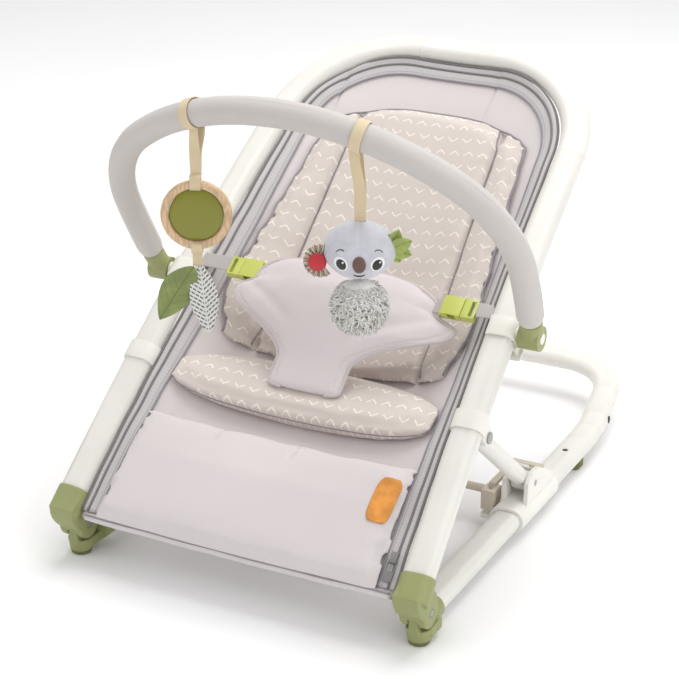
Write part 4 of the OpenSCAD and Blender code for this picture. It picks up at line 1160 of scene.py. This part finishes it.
def make_arch():
    """The foam arch in its knit sleeve: a round bar of uneven girth with a sewn seam along the inside."""
    x, y = arch_line(math.radians(2.35))
    path = arch_world(x, y)
    normal = arch_world(0, 0, 1) - arch_world(0, 0, 0)
    across, over = frames_along(path, np.broadcast_to(normal / np.linalg.norm(normal), path.shape))
    run = np.concatenate([[0], np.cumsum(np.linalg.norm(np.diff(path, axis=0), axis=1))]) / MM
    fine = np.linspace(0, run[-1], 320)
    path, across, over = (np.stack([np.interp(fine, run, v[:, i]) for i in range(3)], -1)
                          for v in (path, across, over))
    a = np.linspace(0, 2 * math.pi, 64, endpoint=False)[None]
    end = smooth(np.minimum(fine, fine[-1] - fine) / 9)[:, None]
    seam = bump_at(np.angle(np.exp(1j * (a - math.pi))), 0.06)
    radius = SLEEVE_R + 0.25 * ripple(fine[:, None], a * SLEEVE_R, 51, 80) - 1.1 * seam
    radius = radius * (0.86 + 0.14 * end)
    ring = path[:, None] + across[:, None] * (radius * np.cos(a))[..., None] * MM
    ring = ring + over[:, None] * (radius * np.sin(a))[..., None] * MM
    cut = laid(fine[:, None] + 0 * a, SLEEVE_R * a, 0 * radius)
    piece = skin("arch_knit_sleeve", ring, cut)
    paint, _ = cloth("arch_knit", dye("arch"), pitch=0.0011, grain=0.7, rough=0.8, mottle=0.05)
    finish_piece(piece, "arch", paint.material, "arch_foam", "arch_sleeve")


def hang_point(x):
    """Point of the arch's middle line over x, and the unit vector along the arch there."""
    angle = math.asin(x / CROWN_R)
    y = ARCH_H - CROWN_R * (1 - math.cos(angle))
    point = arch_world(x, y)
    ahead = arch_world(x + math.cos(angle), y - math.sin(angle)) - point
    return point, ahead / np.linalg.norm(ahead)


FACE_X = np.array([math.cos(FACE_TURN), math.sin(FACE_TURN), 0.0])
FACE_Y = np.array([-math.sin(FACE_TURN), math.cos(FACE_TURN), 0.0])
UP = np.array([0.0, 0.0, 1.0])


def at_face(centre, x, y, z):
    """Points in a toy's own frame: x across its face, y behind it and z up, in millimetres round centre."""
    x, y, z = np.broadcast_arrays(*(np.asarray(a, float) for a in (x, y, z)))
    return centre + (x[..., None] * FACE_X + y[..., None] * FACE_Y + z[..., None] * UP) * MM


def ribbon(name, path, wide, thick, body, slot, material, *nodes):
    """Flat ribbon along a path; wide holds its width direction times half the width at each point."""
    tangent = np.gradient(path, axis=0)
    over = np.cross(wide, tangent)
    over /= np.linalg.norm(over, axis=1)[:, None]
    half = np.linalg.norm(wide, axis=1)
    piece = sweep(name, path, wide / half[:, None], over, half, thick / 2 * MM, power=0.35, around=24)
    return finish_piece(piece, body, material, slot, *nodes)


def level(path, half):
    """Width directions of a ribbon that faces the front, with half its width in millimetres."""
    return np.broadcast_to(FACE_X * half * MM, path.shape)


def hang_ribbon(name, x, bottom, body, material, *nodes):
    """Ribbon looped over the arch: once round it, then two plies that meet and run down to the toy."""
    top, along = hang_point(x)
    side = np.cross(UP, along)
    side /= np.linalg.norm(side)
    lift = np.cross(along, side)
    a = np.linspace(-0.5 * math.pi + 0.35, 1.5 * math.pi - 0.35, 60)
    loop = top + ((side * np.cos(a)[:, None]) + (lift * np.sin(a)[:, None])) * 16.6 * MM
    wide = np.broadcast_to(along * measure("ribbon_half") * MM, loop.shape)
    end = np.array([top[0], top[1], bottom * MM])
    t = np.linspace(0, 1, 40)[1:, None]
    spread = side * (1.3 * MM)
    tails = []
    for start, sign in ((loop[0], 1), (loop[-1], -1)):
        low = end + spread * sign * np.sign(np.dot(start - top, side))
        bow = side * np.sign(np.dot(start - top, side)) * np.sin(t * math.pi) * 0.9 * MM
        flat = start[:2] + (low[:2] - start[:2]) * smooth(t * 1.6)
        tails.append(np.concatenate([flat, start[2:] + (low[2:] - start[2:]) * t], 1) + bow)
    path = np.concatenate([tails[0][::-1], loop, tails[1]])
    turn = smooth(np.concatenate([t[::-1, 0], np.zeros(60), t[:, 0]]) * 1.5)[:, None]
    wide = along * (1 - turn) + FACE_X * turn
    wide = wide / np.linalg.norm(wide, axis=1)[:, None] * measure("ribbon_half") * MM
    return ribbon(name, path, wide, 1.3, body, "ribbon_cream", material, *nodes)


def revolve(name, centre, profile, around, cut_scale=1.0):
    """Turned piece facing the front: profile holds (radius, depth) pairs, closed at both ends."""
    a = np.linspace(0, 2 * math.pi, around, endpoint=False)
    r, d = np.asarray(profile, float).T
    x, z, y = r[:, None] * np.cos(a), r[:, None] * np.sin(a), d[:, None] + 0 * a
    return skin(name, at_face(centre, x, y, z), laid(x, z, y) * cut_scale)


def ring_profile():
    """Round-edged ring section as a closed loop of (radius, depth)."""
    a = np.linspace(0, 2 * math.pi, 28, endpoint=False)
    c, s = np.cos(a), np.sin(a)
    return np.stack([34.0 + 4.5 * np.sign(c) * np.abs(c) ** 0.7, 5.0 * np.sign(s) * np.abs(s) ** 0.7], 1)


def make_ring_toy():
    """Maple ring with a glossy green disc, hung on its ribbon."""
    point, _ = hang_point(RING_X)
    centre = np.array([point[0], point[1], RING_Z * MM])
    section = ring_profile()
    a = np.linspace(0, 2 * math.pi, 96, endpoint=False)
    x, z = section[:, 0] * np.cos(a)[:, None], section[:, 0] * np.sin(a)[:, None]
    y = section[:, 1] + 0 * x
    points = at_face(centre, x, y, z)
    rows, cols = points.shape[:2]
    faces = quads(rows, cols, True)
    last = np.stack([(rows - 1) * cols + np.arange(cols), (rows - 1) * cols + (np.arange(cols) + 1) % cols,
                     (np.arange(cols) + 1) % cols, np.arange(cols)], -1)
    ring = outward(new_piece("maple_ring", points, np.concatenate([faces, last]).tolist(), laid(x, z, y)))
    finish_piece(ring, "ring_toy", wood(), "wood", "toy_ring")
    edge = [(29.3 * math.sin(t), math.copysign(3.5 * abs(math.cos(t)) ** 0.6, math.cos(t)))
            for t in np.linspace(0.02, math.pi - 0.02, 40)]
    disc = revolve("green_disc", centre, edge, 72)
    gloss = plastic("disc_gloss", dye("disc"), rough=0.16, grain=0.00002, coat=0.5)
    finish_piece(disc, "ring_toy", gloss, "disc_green", "ring_disc")
    tape = ribbed_tape("cream_twill", dye("ribbon"))
    hang_ribbon("ring_ribbon", RING_X, RING_Z + RING_R + 5.5, "ring_toy", tape, "ring_loop")
    t = np.linspace(0, 1, 50)
    a = math.pi * t
    y, z = 6.6 * np.cos(a), RING_R - 9.2 + 14.8 * np.sin(a) ** 0.35
    path = at_face(centre, 0 * t, y, z)
    ribbon("ring_hold", path, level(path, measure("ribbon_half")), 1.2, "ring_toy", "ribbon_cream", tape)


def make_leaves():
    """Two cloth leaves on a tab round the bottom of the ring."""
    point, _ = hang_point(RING_X)
    centre = np.array([point[0], point[1], RING_Z * MM])
    tape = bpy.data.materials["cream_twill"]
    t = np.linspace(0, 1, 60)
    y = -6.6 * np.cos(math.pi * t)
    z = -RING_R + 8.0 - 12.4 * np.sin(math.pi * t) ** 0.4
    path = at_face(centre, 0 * t, y, z)
    ribbon("leaf_hold", path, level(path, measure("ribbon_half")), 1.1, "leaves", "ribbon_cream", tape,
           "leaf_tab")
    z = np.linspace(-RING_R - 3.6, -RING_R - 19, 12)
    path = at_face(centre, 0 * z, 0 * z, z)
    ribbon("leaf_stem", path, level(path, 5.4), 1.5, "leaves", "ribbon_cream", tape)
    low = np.array([point[0], point[1], 331 * MM])
    felt = leaf_felt("leaf_cloth", dye("leaf"))
    for name, node, slot, length, width, lean, x0, y0, curl, material in (
            ("leaf_green_cloth", "leaf_green", "leaf_felt", 74, 37, -32, -4, -4.2, 5, felt),
            ("leaf_print_cloth", "leaf_print", "print_cloth", 80, 31, 6, 2, 2.2, -3, dashes())):
        v = np.linspace(0.004, 0.996, 60)[:, None]
        u = np.linspace(-1, 1, 33)[None]
        half = width / 2 * np.sin(math.pi * v ** 0.92) ** 0.8
        side, down = u * half, -length * v
        thick = 1.3 * dome(u, 4) * np.sin(math.pi * v) ** 0.3 + 0.25
        bend = curl * np.sin(math.pi * v * 0.9) + 2.0 * u**2 * np.sin(math.pi * v) * np.sign(curl)
        bend = bend + 0.4 * ripple(side, down, 61, 18)
        angle = math.radians(lean)
        x = x0 + side * math.cos(angle) - down * math.sin(angle)
        z = side * math.sin(angle) + down * math.cos(angle) - 1
        cut = laid(side, down, 0 * side)
        near, far = (at_face(low, x, y0 + bend + sign * thick, z) for sign in (-1, 1))
        piece = slab(name, near, far, cut)
        finish_piece(piece, "leaves", material, slot, node)


def egg(name, centre, rx, ry, rz, change=None, rows=80, around=110):
    """An egg round centre: change(direction) adds to its radius in millimetres."""
    b = np.linspace(-math.pi / 2 + 0.02, math.pi / 2 - 0.02, rows)[:, None]
    a = np.linspace(0, 2 * math.pi, around, endpoint=False)[None]
    d = np.stack([np.cos(b) * np.cos(a), np.cos(b) * np.sin(a), np.sin(b) + 0 * a], -1)
    grow = 1 + (change(d) if change else 0 * d[..., 0]) / max(rx, rz)
    x, y, z = rx * d[..., 0] * grow, ry * d[..., 1] * grow, rz * d[..., 2] * grow
    return skin(name, at_face(centre, x, y, z), laid(x, z, y))


def make_plush():
    """The plush toy: stuffed head, fleece body, a ruffled ear, a petal ear and a stitched face."""
    point, _ = hang_point(PLUSH_X)
    centre = np.array([point[0], point[1], HEAD_Z * MM])
    head = egg("plush_head_stuffed", centre, HEAD_W / 2, HEAD_W / 2 - 2, 30.5,
               lambda d: 0.7 * np.cos(d[..., 2] * 3) - 0.8 * bump_at(d[..., 0], 0.05) * (d[..., 1] < 0)
               + 0.5 * ripple(d[..., 0] * 30, d[..., 2] * 30, 71, 24))
    finish_piece(head, "plush_toy", plush("head_velour", dye("plush")), "plush_grey", "plush_head")
    low = np.array([point[0], point[1], 320 * MM])
    body = egg("fleece_core", low, 27, 27, 28,
               lambda d: 1.2 * ripple(d[..., 0] * 40, d[..., 2] * 40 + d[..., 1] * 25, 73, 20))
    fleece = plush("long_fleece", dye("fluff"), 420, 0.0006)
    finish_piece(body, "plush_toy", fleece, "fluff_cream", "plush_body")
    finish_piece(make_tufts(low), "plush_toy", fleece, "fluff_cream")
    tape = bpy.data.materials["cream_twill"]
    hang_ribbon("plush_ribbon", PLUSH_X, HEAD_Z + 28, "plush_toy", tape, "plush_loop")
    make_ears(centre)
    make_face(centre)


def make_tufts(centre):
    """Locks of fleece: bent, tapering three-sided blades set in a golden spiral over the body."""
    count = 1500
    rng = np.random.default_rng(9)
    k = np.arange(count)
    z = 1 - 1.86 * (k + 0.5) / count
    a = k * math.pi * (3 - math.sqrt(5))
    d = np.stack([np.sqrt(1 - z**2) * np.cos(a), np.sqrt(1 - z**2) * np.sin(a), z], -1)
    turn = rng.uniform(0, 6.28, count)
    side = np.cross(d, np.array([0, 0, 1.0]) + 0.01)
    side /= np.linalg.norm(side, axis=1)[:, None]
    other = np.cross(d, side)
    lean = side * np.cos(turn)[:, None] + other * np.sin(turn)[:, None]
    wide = np.cross(d, lean)
    base = d * 26.5
    long_ = rng.uniform(0.78, 1.22, count) * measure("pile")
    rings = []
    for share, thick in ((0.0, 2.4), (0.4, 2.1), (0.75, 1.3), (1.0, 0.35)):
        middle = base + d * (long_ * share * 0.8)[:, None] + lean * (long_ * share**2 * 1.1)[:, None]
        middle[:, 2] -= share**2 * 2.2
        for step in range(3):
            angle = 2 * math.pi * step / 3
            corner = wide * math.cos(angle) + np.cross(wide, d) * math.sin(angle) * 0.6
            rings.append(middle + corner * thick)
    points = np.stack(rings, 1)
    keep = (points[..., 2].max(1) < 24) | (np.hypot(points[:, 0, 0], points[:, 0, 1]) > 26)
    points = points[keep]
    start = np.arange(len(points))[:, None] * 12
    ring = np.array([[0, 1, 4, 3], [1, 2, 5, 4], [2, 0, 3, 5]])
    pattern = np.concatenate([ring, ring + 3, ring + 6])
    faces = (start[..., None] + pattern[None]).reshape(-1, 4).tolist()
    caps = (start + np.array([[9, 10, 11]])).tolist() + (start + np.array([[2, 1, 0]])).tolist()
    world = at_face(centre, points[..., 0], points[..., 1], points[..., 2])
    tufts = new_piece("fleece_locks", world, faces + caps, points.reshape(-1, 3) * MM)
    work = bmesh.new()
    work.from_mesh(tufts.data)
    bmesh.ops.recalc_face_normals(work, faces=work.faces)
    work.to_mesh(tufts.data)
    work.free()
    return tufts


def make_ears(centre):
    """Left: a pleated round of striped ribbon with a satin disc. Right: overlapping felt petals."""
    v = np.linspace(0.25, 1, 24)[:, None]
    a = np.linspace(math.radians(55), math.radians(305), 150)[None]
    pleat = np.sin(a * 17) * 1.5 * smooth((v - 0.3) / 0.7)
    mid = at_face(centre, -40.0, -8.0, -10.0)
    x, z, y = 17.5 * v * np.cos(a), 17.5 * v * np.sin(a), pleat
    cut = laid(17 * a + 0 * x, 17 * v + 0 * x, 0 * x)
    ear = slab("ruffled_ear", at_face(mid, x, y - 0.7, z), at_face(mid, x, y + 0.7, z), cut)
    finish_piece(ear, "plush_toy", stripes(), "ruffle_stripe", "plush_ear_left")
    profile = [(9.6 * math.sin(t) ** 0.8, -2.6 * math.cos(t))
               for t in np.linspace(0.05, math.pi - 0.05, 30)]
    disc = revolve("satin_disc", at_face(centre, -43.0, -12.2, -10.0), profile, 60)
    paint, _ = cloth("red_satin", dye("red"), pitch=0.0006, rough=0.4, sheen=0.1, on_cut=False)
    finish_piece(disc, "plush_toy", paint.material, "felt_red", "plush_ear_disc")
    felt = leaf_felt("petal_felt", dye("petal"))
    petals = ((68, 21, -7), (24, 23, -9.5), (-18, 22, -8.2), (-58, 18, -6.6), (100, 15, -6))
    for k, (turn, length, depth) in enumerate(petals):
        v = np.linspace(0.01, 0.99, 30)[:, None]
        u = np.linspace(-1, 1, 21)[None]
        half = 8.2 * np.sin(math.pi * v ** 0.75) ** 0.7
        r, side = length * v, u * half
        curl = -2.6 * (np.abs(u) ** 2) * np.sin(math.pi * v) + 1.6 * np.sin(math.pi * v)
        angle = math.radians(turn)
        x = 32 + r * math.cos(angle) - side * math.sin(angle)
        z = 4 + r * math.sin(angle) + side * math.cos(angle)
        thick = 0.8 * dome(u, 4) + 0.1
        cut = laid(side, r, 0 * side)
        near, far = (at_face(centre, x, depth + curl + sign * thick, z) for sign in (-1, 1))
        petal = slab(f"petal_{k + 1}", near, far, cut)
        finish_piece(petal, "plush_toy", felt, "felt_leaf", *(("plush_ear_right",) if k == 0 else ()))


def on_head(centre, x, z, out):
    """Point on the head's front over (x, z), lifted off it by out."""
    depth = -(HEAD_W / 2 - 2) * math.sqrt(max(1 - (x / (HEAD_W / 2)) ** 2 - (z / 30.5) ** 2, 0.05)) - out
    return at_face(centre, x, depth, z)


def button(name, centre, x, z, radius_x, radius_z, height, material, slot, *nodes):
    """A low oval dome stitched on the head, lying square to its surface."""
    depth = math.sqrt(max(1 - (x / 37) ** 2 - (z / 30.5) ** 2, 0.05))
    normal = np.array([x / (HEAD_W / 2) ** 2, -depth / 35, z / 30.5**2])
    normal /= np.linalg.norm(normal)
    right = np.cross(np.array([0, 0, 1.0]), normal)
    right /= np.linalg.norm(right)
    up = np.cross(normal, right)
    depth = -(HEAD_W / 2 - 2) * math.sqrt(max(1 - (x / (HEAD_W / 2)) ** 2 - (z / 30.5) ** 2, 0.05))
    t = np.linspace(0.03, math.pi - 0.03, 24)[:, None]
    a = np.linspace(0, 2 * math.pi, 48, endpoint=False)[None]
    r, lift = np.sin(t) ** 0.7, height * np.cos(t)
    local = (np.array([x, depth, z]) + (r * np.cos(a) * radius_x)[..., None] * right
             + (r * np.sin(a) * radius_z)[..., None] * up + (lift + 0 * a)[..., None] * normal)
    piece = skin(name, at_face(centre, local[..., 0], local[..., 1], local[..., 2]), local * MM)
    return finish_piece(piece, "plush_toy", material, slot, *nodes)


def make_face(centre):
    """A plain animal face: white-rimmed button eyes, each with a painted highlight dot, a soft oval nose and
    a short stitched mouth.
    """
    black = cloth("black_stitch", (20, 20, 23), on_cut=False, rough=0.45)[0].material
    white = cloth("white_felt", (240, 240, 240), on_cut=False)[0].material
    brown = plush("nose_pile", (112, 88, 80), 1800, 0.0003)
    for side, sign in (("left", -1), ("right", 1)):
        button("eye_rim_" + side, centre, sign * 18.5, -5, 8.2, 8.2, 1.0, white, "print_cloth")
        nodes = ("plush_eyes",) if sign > 0 else ()
        button("eye_" + side, centre, sign * 18.0, -5.5, 6.2, 6.6, 1.9, black, "stitch_black", *nodes)
        # A small white dot up and to one side on each eye: a painted highlight standing for the glint of
        # light on the eye.
        button("eye_glint_" + side, centre, sign * 18.0 + 2.0, -2.6, 1.6, 1.6, 2.3, white, "print_cloth")
        t = np.linspace(-1, 1, 16)
        path = np.stack([on_head(centre, sign * (19.5 + 4 * a), 9.5 - 2.0 * a * a - 1.2 * a, 0.4)
                         for a in t])
        stitch_line("brow_" + side, path, 0.6, black)
    button("nose_oval", centre, 0, -4.5, 7.0, 9.4, 4.0, brown, "stitch_brown", "plush_nose")
    path = np.stack([on_head(centre, 5.5 * a, -19.5 + 2.4 * a * a, 0.4) for a in np.linspace(-1, 1, 20)])
    stitch_line("mouth_stitch", path, 0.6, black)


def stitch_line(name, path, radius, material):
    """A thin stitched line on the plush head."""
    across, over = frames_along(path, np.broadcast_to(-FACE_Y, path.shape))
    piece = sweep(name, path, across, over, radius * MM, radius * MM, around=10)
    finish_piece(piece, "plush_toy", material, "stitch_black")



# ---------- frame, camera and light ----------

def side_nodes(stem):
    return (stem + "_left", stem + "_right")


def make_frame():
    """Tubes in satin powder coat, white mouldings, pins, pads and plugs."""
    coat = powder_coat()
    moulded("base_tube", coat, "frame_white", "base", bevel=0.5)
    moulded("seat_tube", coat, "frame_white", "seat", bevel=0.5)
    for body, stem in (("left_strut", "strut_left"), ("right_strut", "strut_right")):
        moulded(stem, coat, "frame_white", body)
    white = plastic("white_moulding", dye("moulded"))
    for node in side_nodes("sleeve"):
        moulded(node, white, "moulded_white", "slider", bevel=1.1)
    for node in side_nodes("arch_clamp"):
        moulded(node, white, "moulded_white", "seat")
    moulded("strut_brackets", white, "moulded_white", "seat")
    beige = plastic("beige_moulding", dye("beige"), rough=0.5)
    moulded("crossbar", beige, "moulded_beige", "slider", bevel=0.6)
    moulded("release_block_left", beige, "moulded_beige", "left_release", bevel=1.4)
    moulded("release_block_right", beige, "moulded_beige", "right_release", bevel=1.4)
    steel = metal("zinc_steel", dye("steel"), 0.32)
    for body, nodes in (("base", ("hinge_pins",)), ("seat", ("strut_bolts",)), ("slider", ("slider_pins",)),
                        ("left_release", ("lock_pin_left",)), ("right_release", ("lock_pin_right",))):
        for node in nodes:
            moulded(node, steel, "steel", body, bevel=0.4)
    grip = rubber()
    moulded("foot_pads", grip, "foot_rubber", "base", bevel=0.6)
    moulded("rear_pads", grip, "foot_rubber", "base", bevel=1.0)
    moulded("rail_plugs", plastic("plug_plastic", dye("dark"), rough=0.5), "plug_dark", "base", bevel=0.4)


def make_green():
    """Feet, elbows and arch sockets in soft-grained green plastic."""
    green = plastic("green_moulding", dye("green"), rough=0.46)
    for node in side_nodes("foot_socket"):
        softened(node, green, "moulded_green", "base")
    for node in side_nodes("elbow"):
        softened(node, green, "moulded_green", "seat", rounds=16)
    for node in side_nodes("arch_socket"):
        moulded(node, green, "moulded_green", "arch")


def make_buckles():
    """Side-release waist buckles and the webbing that carries them."""
    lime = plastic("buckle_plastic", dye("lime"), rough=0.36)
    for side in ("left", "right"):
        moulded("buckle_socket_" + side, lime, "buckle_lime", "seat", bevel=1.0)
        moulded("buckle_plug_" + side, lime, "buckle_lime", side + "_plug", bevel=0.8)
    make_straps()


def make_zip_slider():
    """The zip's slider and its pull."""
    cast = metal("zip_metal_finish", (150, 148, 146), 0.35)
    moulded("zip_slider", cast, "zip_metal", "zip_slide_body", bevel=0.9)
    moulded("zip_pull", cast, "zip_metal", "zip_pull_body", bevel=0.4)


def make_arch_core():
    """The spring-steel core inside the arch sleeve."""
    moulded("arch_core", metal("core_steel", dye("steel"), 0.4), "steel", "arch", bevel=0.3)


def light(name, place, target, width, power, colour=(1, 1, 1)):
    """A square soft box at place that faces target."""
    lamp = bpy.data.lights.new(name, "AREA")
    lamp.size, lamp.energy, lamp.color = width, power, colour
    box = bpy.data.objects.new(name, lamp)
    box.location = place
    box.rotation_euler = (Vector(target) - Vector(place)).to_track_quat("-Z", "Y").to_euler()
    bpy.context.scene.collection.objects.link(box)
    return box


def make_stage():
    """Camera, seamless floor and three soft boxes."""
    view = bpy.data.cameras.new("camera")
    view.lens, view.sensor_width, view.clip_end = 101.35, 36.0, 50
    camera = bpy.data.objects.new("camera", view)
    camera.location = (0.92415, (-1548.58 + SHIFT_Y) * MM, 1.04394)
    camera.rotation_euler = (math.radians(90 - 22.53), 0, math.radians(27.52))
    bpy.context.scene.collection.objects.link(camera)
    bpy.context.scene.camera = camera
    a = np.linspace(0, 2 * math.pi, 96, endpoint=False)
    rings = np.stack([np.stack([r * np.cos(a), r * np.sin(a), 0 * a - 0.0004], 1)
                      for r in (14.0, 3.0, 0.6, 0.05)])
    count = len(a)
    faces = quads(4, count, True)[:, ::-1].tolist() + [(3 * count + np.arange(count)).tolist()]
    floor = new_piece("studio_floor", rings, faces)
    paint = Paint("studio_paper", Roughness=0.9, Specular_IOR_Level=0.2)
    cloud = paint.noise(paint.place(), 2.5, 3)
    shades = (0.93, 0.93, 0.935, 1), (0.95, 0.95, 0.952, 1)
    paint.feed("Base Color", paint.mix(cloud.step(0.2, 0.8), *shades))
    floor.data.materials.append(paint.material)
    world = bpy.data.worlds.new("studio")
    bpy.context.scene.world = world
    world.use_nodes = True
    sky = world.node_tree.nodes["Background"].inputs
    sky["Color"].default_value = (1, 1, 1, 1)
    sky["Strength"].default_value = 0.62
    light("top_box", (0.1, 0.9, 3.0), (0, 0, 0.2), 2.4, 62, (1.0, 0.99, 0.975))
    light("left_box", (-2.2, -1.8, 2.0), (0, 0, 0.2), 2.4, 12, (1.0, 0.985, 0.965))
    light("right_box", (2.6, -0.6, 1.8), (0, 0, 0.2), 2.4, 26, (0.98, 0.985, 1.0))
    bpy.context.scene.view_settings.view_transform = "Standard"


# ---------- the add-on ----------

class Build:
    """What the operators share: run the class's own steps and report success."""
    steps = ()

    def execute(self, context):
        for step in self.steps:
            step()
        return {"FINISHED"}


class BOUNCER_OT_stage(Build, bpy.types.Operator):
    """Add the camera, the floor and the studio light"""
    bl_idname = "bouncer.stage"
    bl_label = "Stage"
    steps = (make_stage,)


class BOUNCER_OT_frame(Build, bpy.types.Operator):
    """Finish the tubes, the white and beige mouldings and the pins"""
    bl_idname = "bouncer.frame"
    bl_label = "Frame"
    steps = (make_frame,)


class BOUNCER_OT_green(Build, bpy.types.Operator):
    """Finish the green feet, elbows and arch sockets"""
    bl_idname = "bouncer.green"
    bl_label = "Green Mouldings"
    steps = (make_green,)


class BOUNCER_OT_cover(Build, bpy.types.Operator):
    """Sew the dished cover with its front hem"""
    bl_idname = "bouncer.cover"
    bl_label = "Cover"
    steps = (make_cover, make_hem)


class BOUNCER_OT_leg_cushion(Build, bpy.types.Operator):
    """Stuff the leg cushion and sew on its blank label"""
    bl_idname = "bouncer.leg_cushion"
    bl_label = "Leg Cushion"
    steps = (make_leg_panel, make_label)


class BOUNCER_OT_zip(Build, bpy.types.Operator):
    """Sew in the zip band, with its slider and pull"""
    bl_idname = "bouncer.zip"
    bl_label = "Zip"
    steps = (make_zip, make_zip_slider)


class BOUNCER_OT_insert(Build, bpy.types.Operator):
    """Stuff the newborn insert: its back and its oval cushion"""
    bl_idname = "bouncer.insert"
    bl_label = "Newborn Insert"
    steps = (make_insert_back, make_insert_cushion)


class BOUNCER_OT_lap_pad(Build, bpy.types.Operator):
    """Stuff the lap pad and bind its edge"""
    bl_idname = "bouncer.lap_pad"
    bl_label = "Lap Pad"
    steps = (make_lap_pad,)


class BOUNCER_OT_buckles(Build, bpy.types.Operator):
    """Add the waist buckles and their webbing"""
    bl_idname = "bouncer.buckles"
    bl_label = "Buckles and Webbing"
    steps = (make_buckles,)


class BOUNCER_OT_arch(Build, bpy.types.Operator):
    """Cover the toy arch in its knit sleeve"""
    bl_idname = "bouncer.arch"
    bl_label = "Toy Arch"
    steps = (make_arch_core, make_arch)


class BOUNCER_OT_ring_toy(Build, bpy.types.Operator):
    """Hang the wooden ring with its disc and leaves"""
    bl_idname = "bouncer.ring_toy"
    bl_label = "Ring Toy"
    steps = (make_ring_toy, make_leaves)


class BOUNCER_OT_plush(Build, bpy.types.Operator):
    """Hang the plush toy"""
    bl_idname = "bouncer.plush"
    bl_label = "Plush Toy"
    steps = (make_plush,)


OPERATORS = (BOUNCER_OT_stage, BOUNCER_OT_frame, BOUNCER_OT_green, BOUNCER_OT_cover, BOUNCER_OT_leg_cushion,
             BOUNCER_OT_zip, BOUNCER_OT_insert, BOUNCER_OT_lap_pad, BOUNCER_OT_buckles, BOUNCER_OT_arch,
             BOUNCER_OT_ring_toy, BOUNCER_OT_plush)


class BOUNCER_PT_seat(bpy.types.Panel):
    """Sizes, colours and steps of the bouncer seat"""
    bl_idname = "BOUNCER_PT_seat"
    bl_label = "Bouncer Seat"
    bl_space_type = "VIEW_3D"
    bl_region_type = "UI"
    bl_category = "Bouncer"

    def draw(self, context):
        sizes, colours = context.scene.bouncer_sizes, context.scene.bouncer_colours
        for group, keys in ((sizes, SIZES), (colours, COLOURS)):
            column = self.layout.column(align=True)
            for key in keys:
                column.prop(group, key)
        for operator in OPERATORS:
            self.layout.operator(operator.bl_idname)


CLASSES = (BouncerColours, BouncerSizes) + OPERATORS + (BOUNCER_PT_seat,)


def register():
    for item in CLASSES:
        bpy.utils.register_class(item)
    bpy.types.Scene.bouncer_colours = bpy.props.PointerProperty(type=BouncerColours)
    bpy.types.Scene.bouncer_sizes = bpy.props.PointerProperty(type=BouncerSizes)


def unregister():
    del bpy.types.Scene.bouncer_sizes
    del bpy.types.Scene.bouncer_colours
    for item in reversed(CLASSES):
        bpy.utils.unregister_class(item)


def main():
    """Registers the add-on and runs its operators in order."""
    register()
    for operator in OPERATORS:
        group, name = operator.bl_idname.split(".")
        getattr(getattr(bpy.ops, group), name)()


if __name__ == "__main__":
    main()
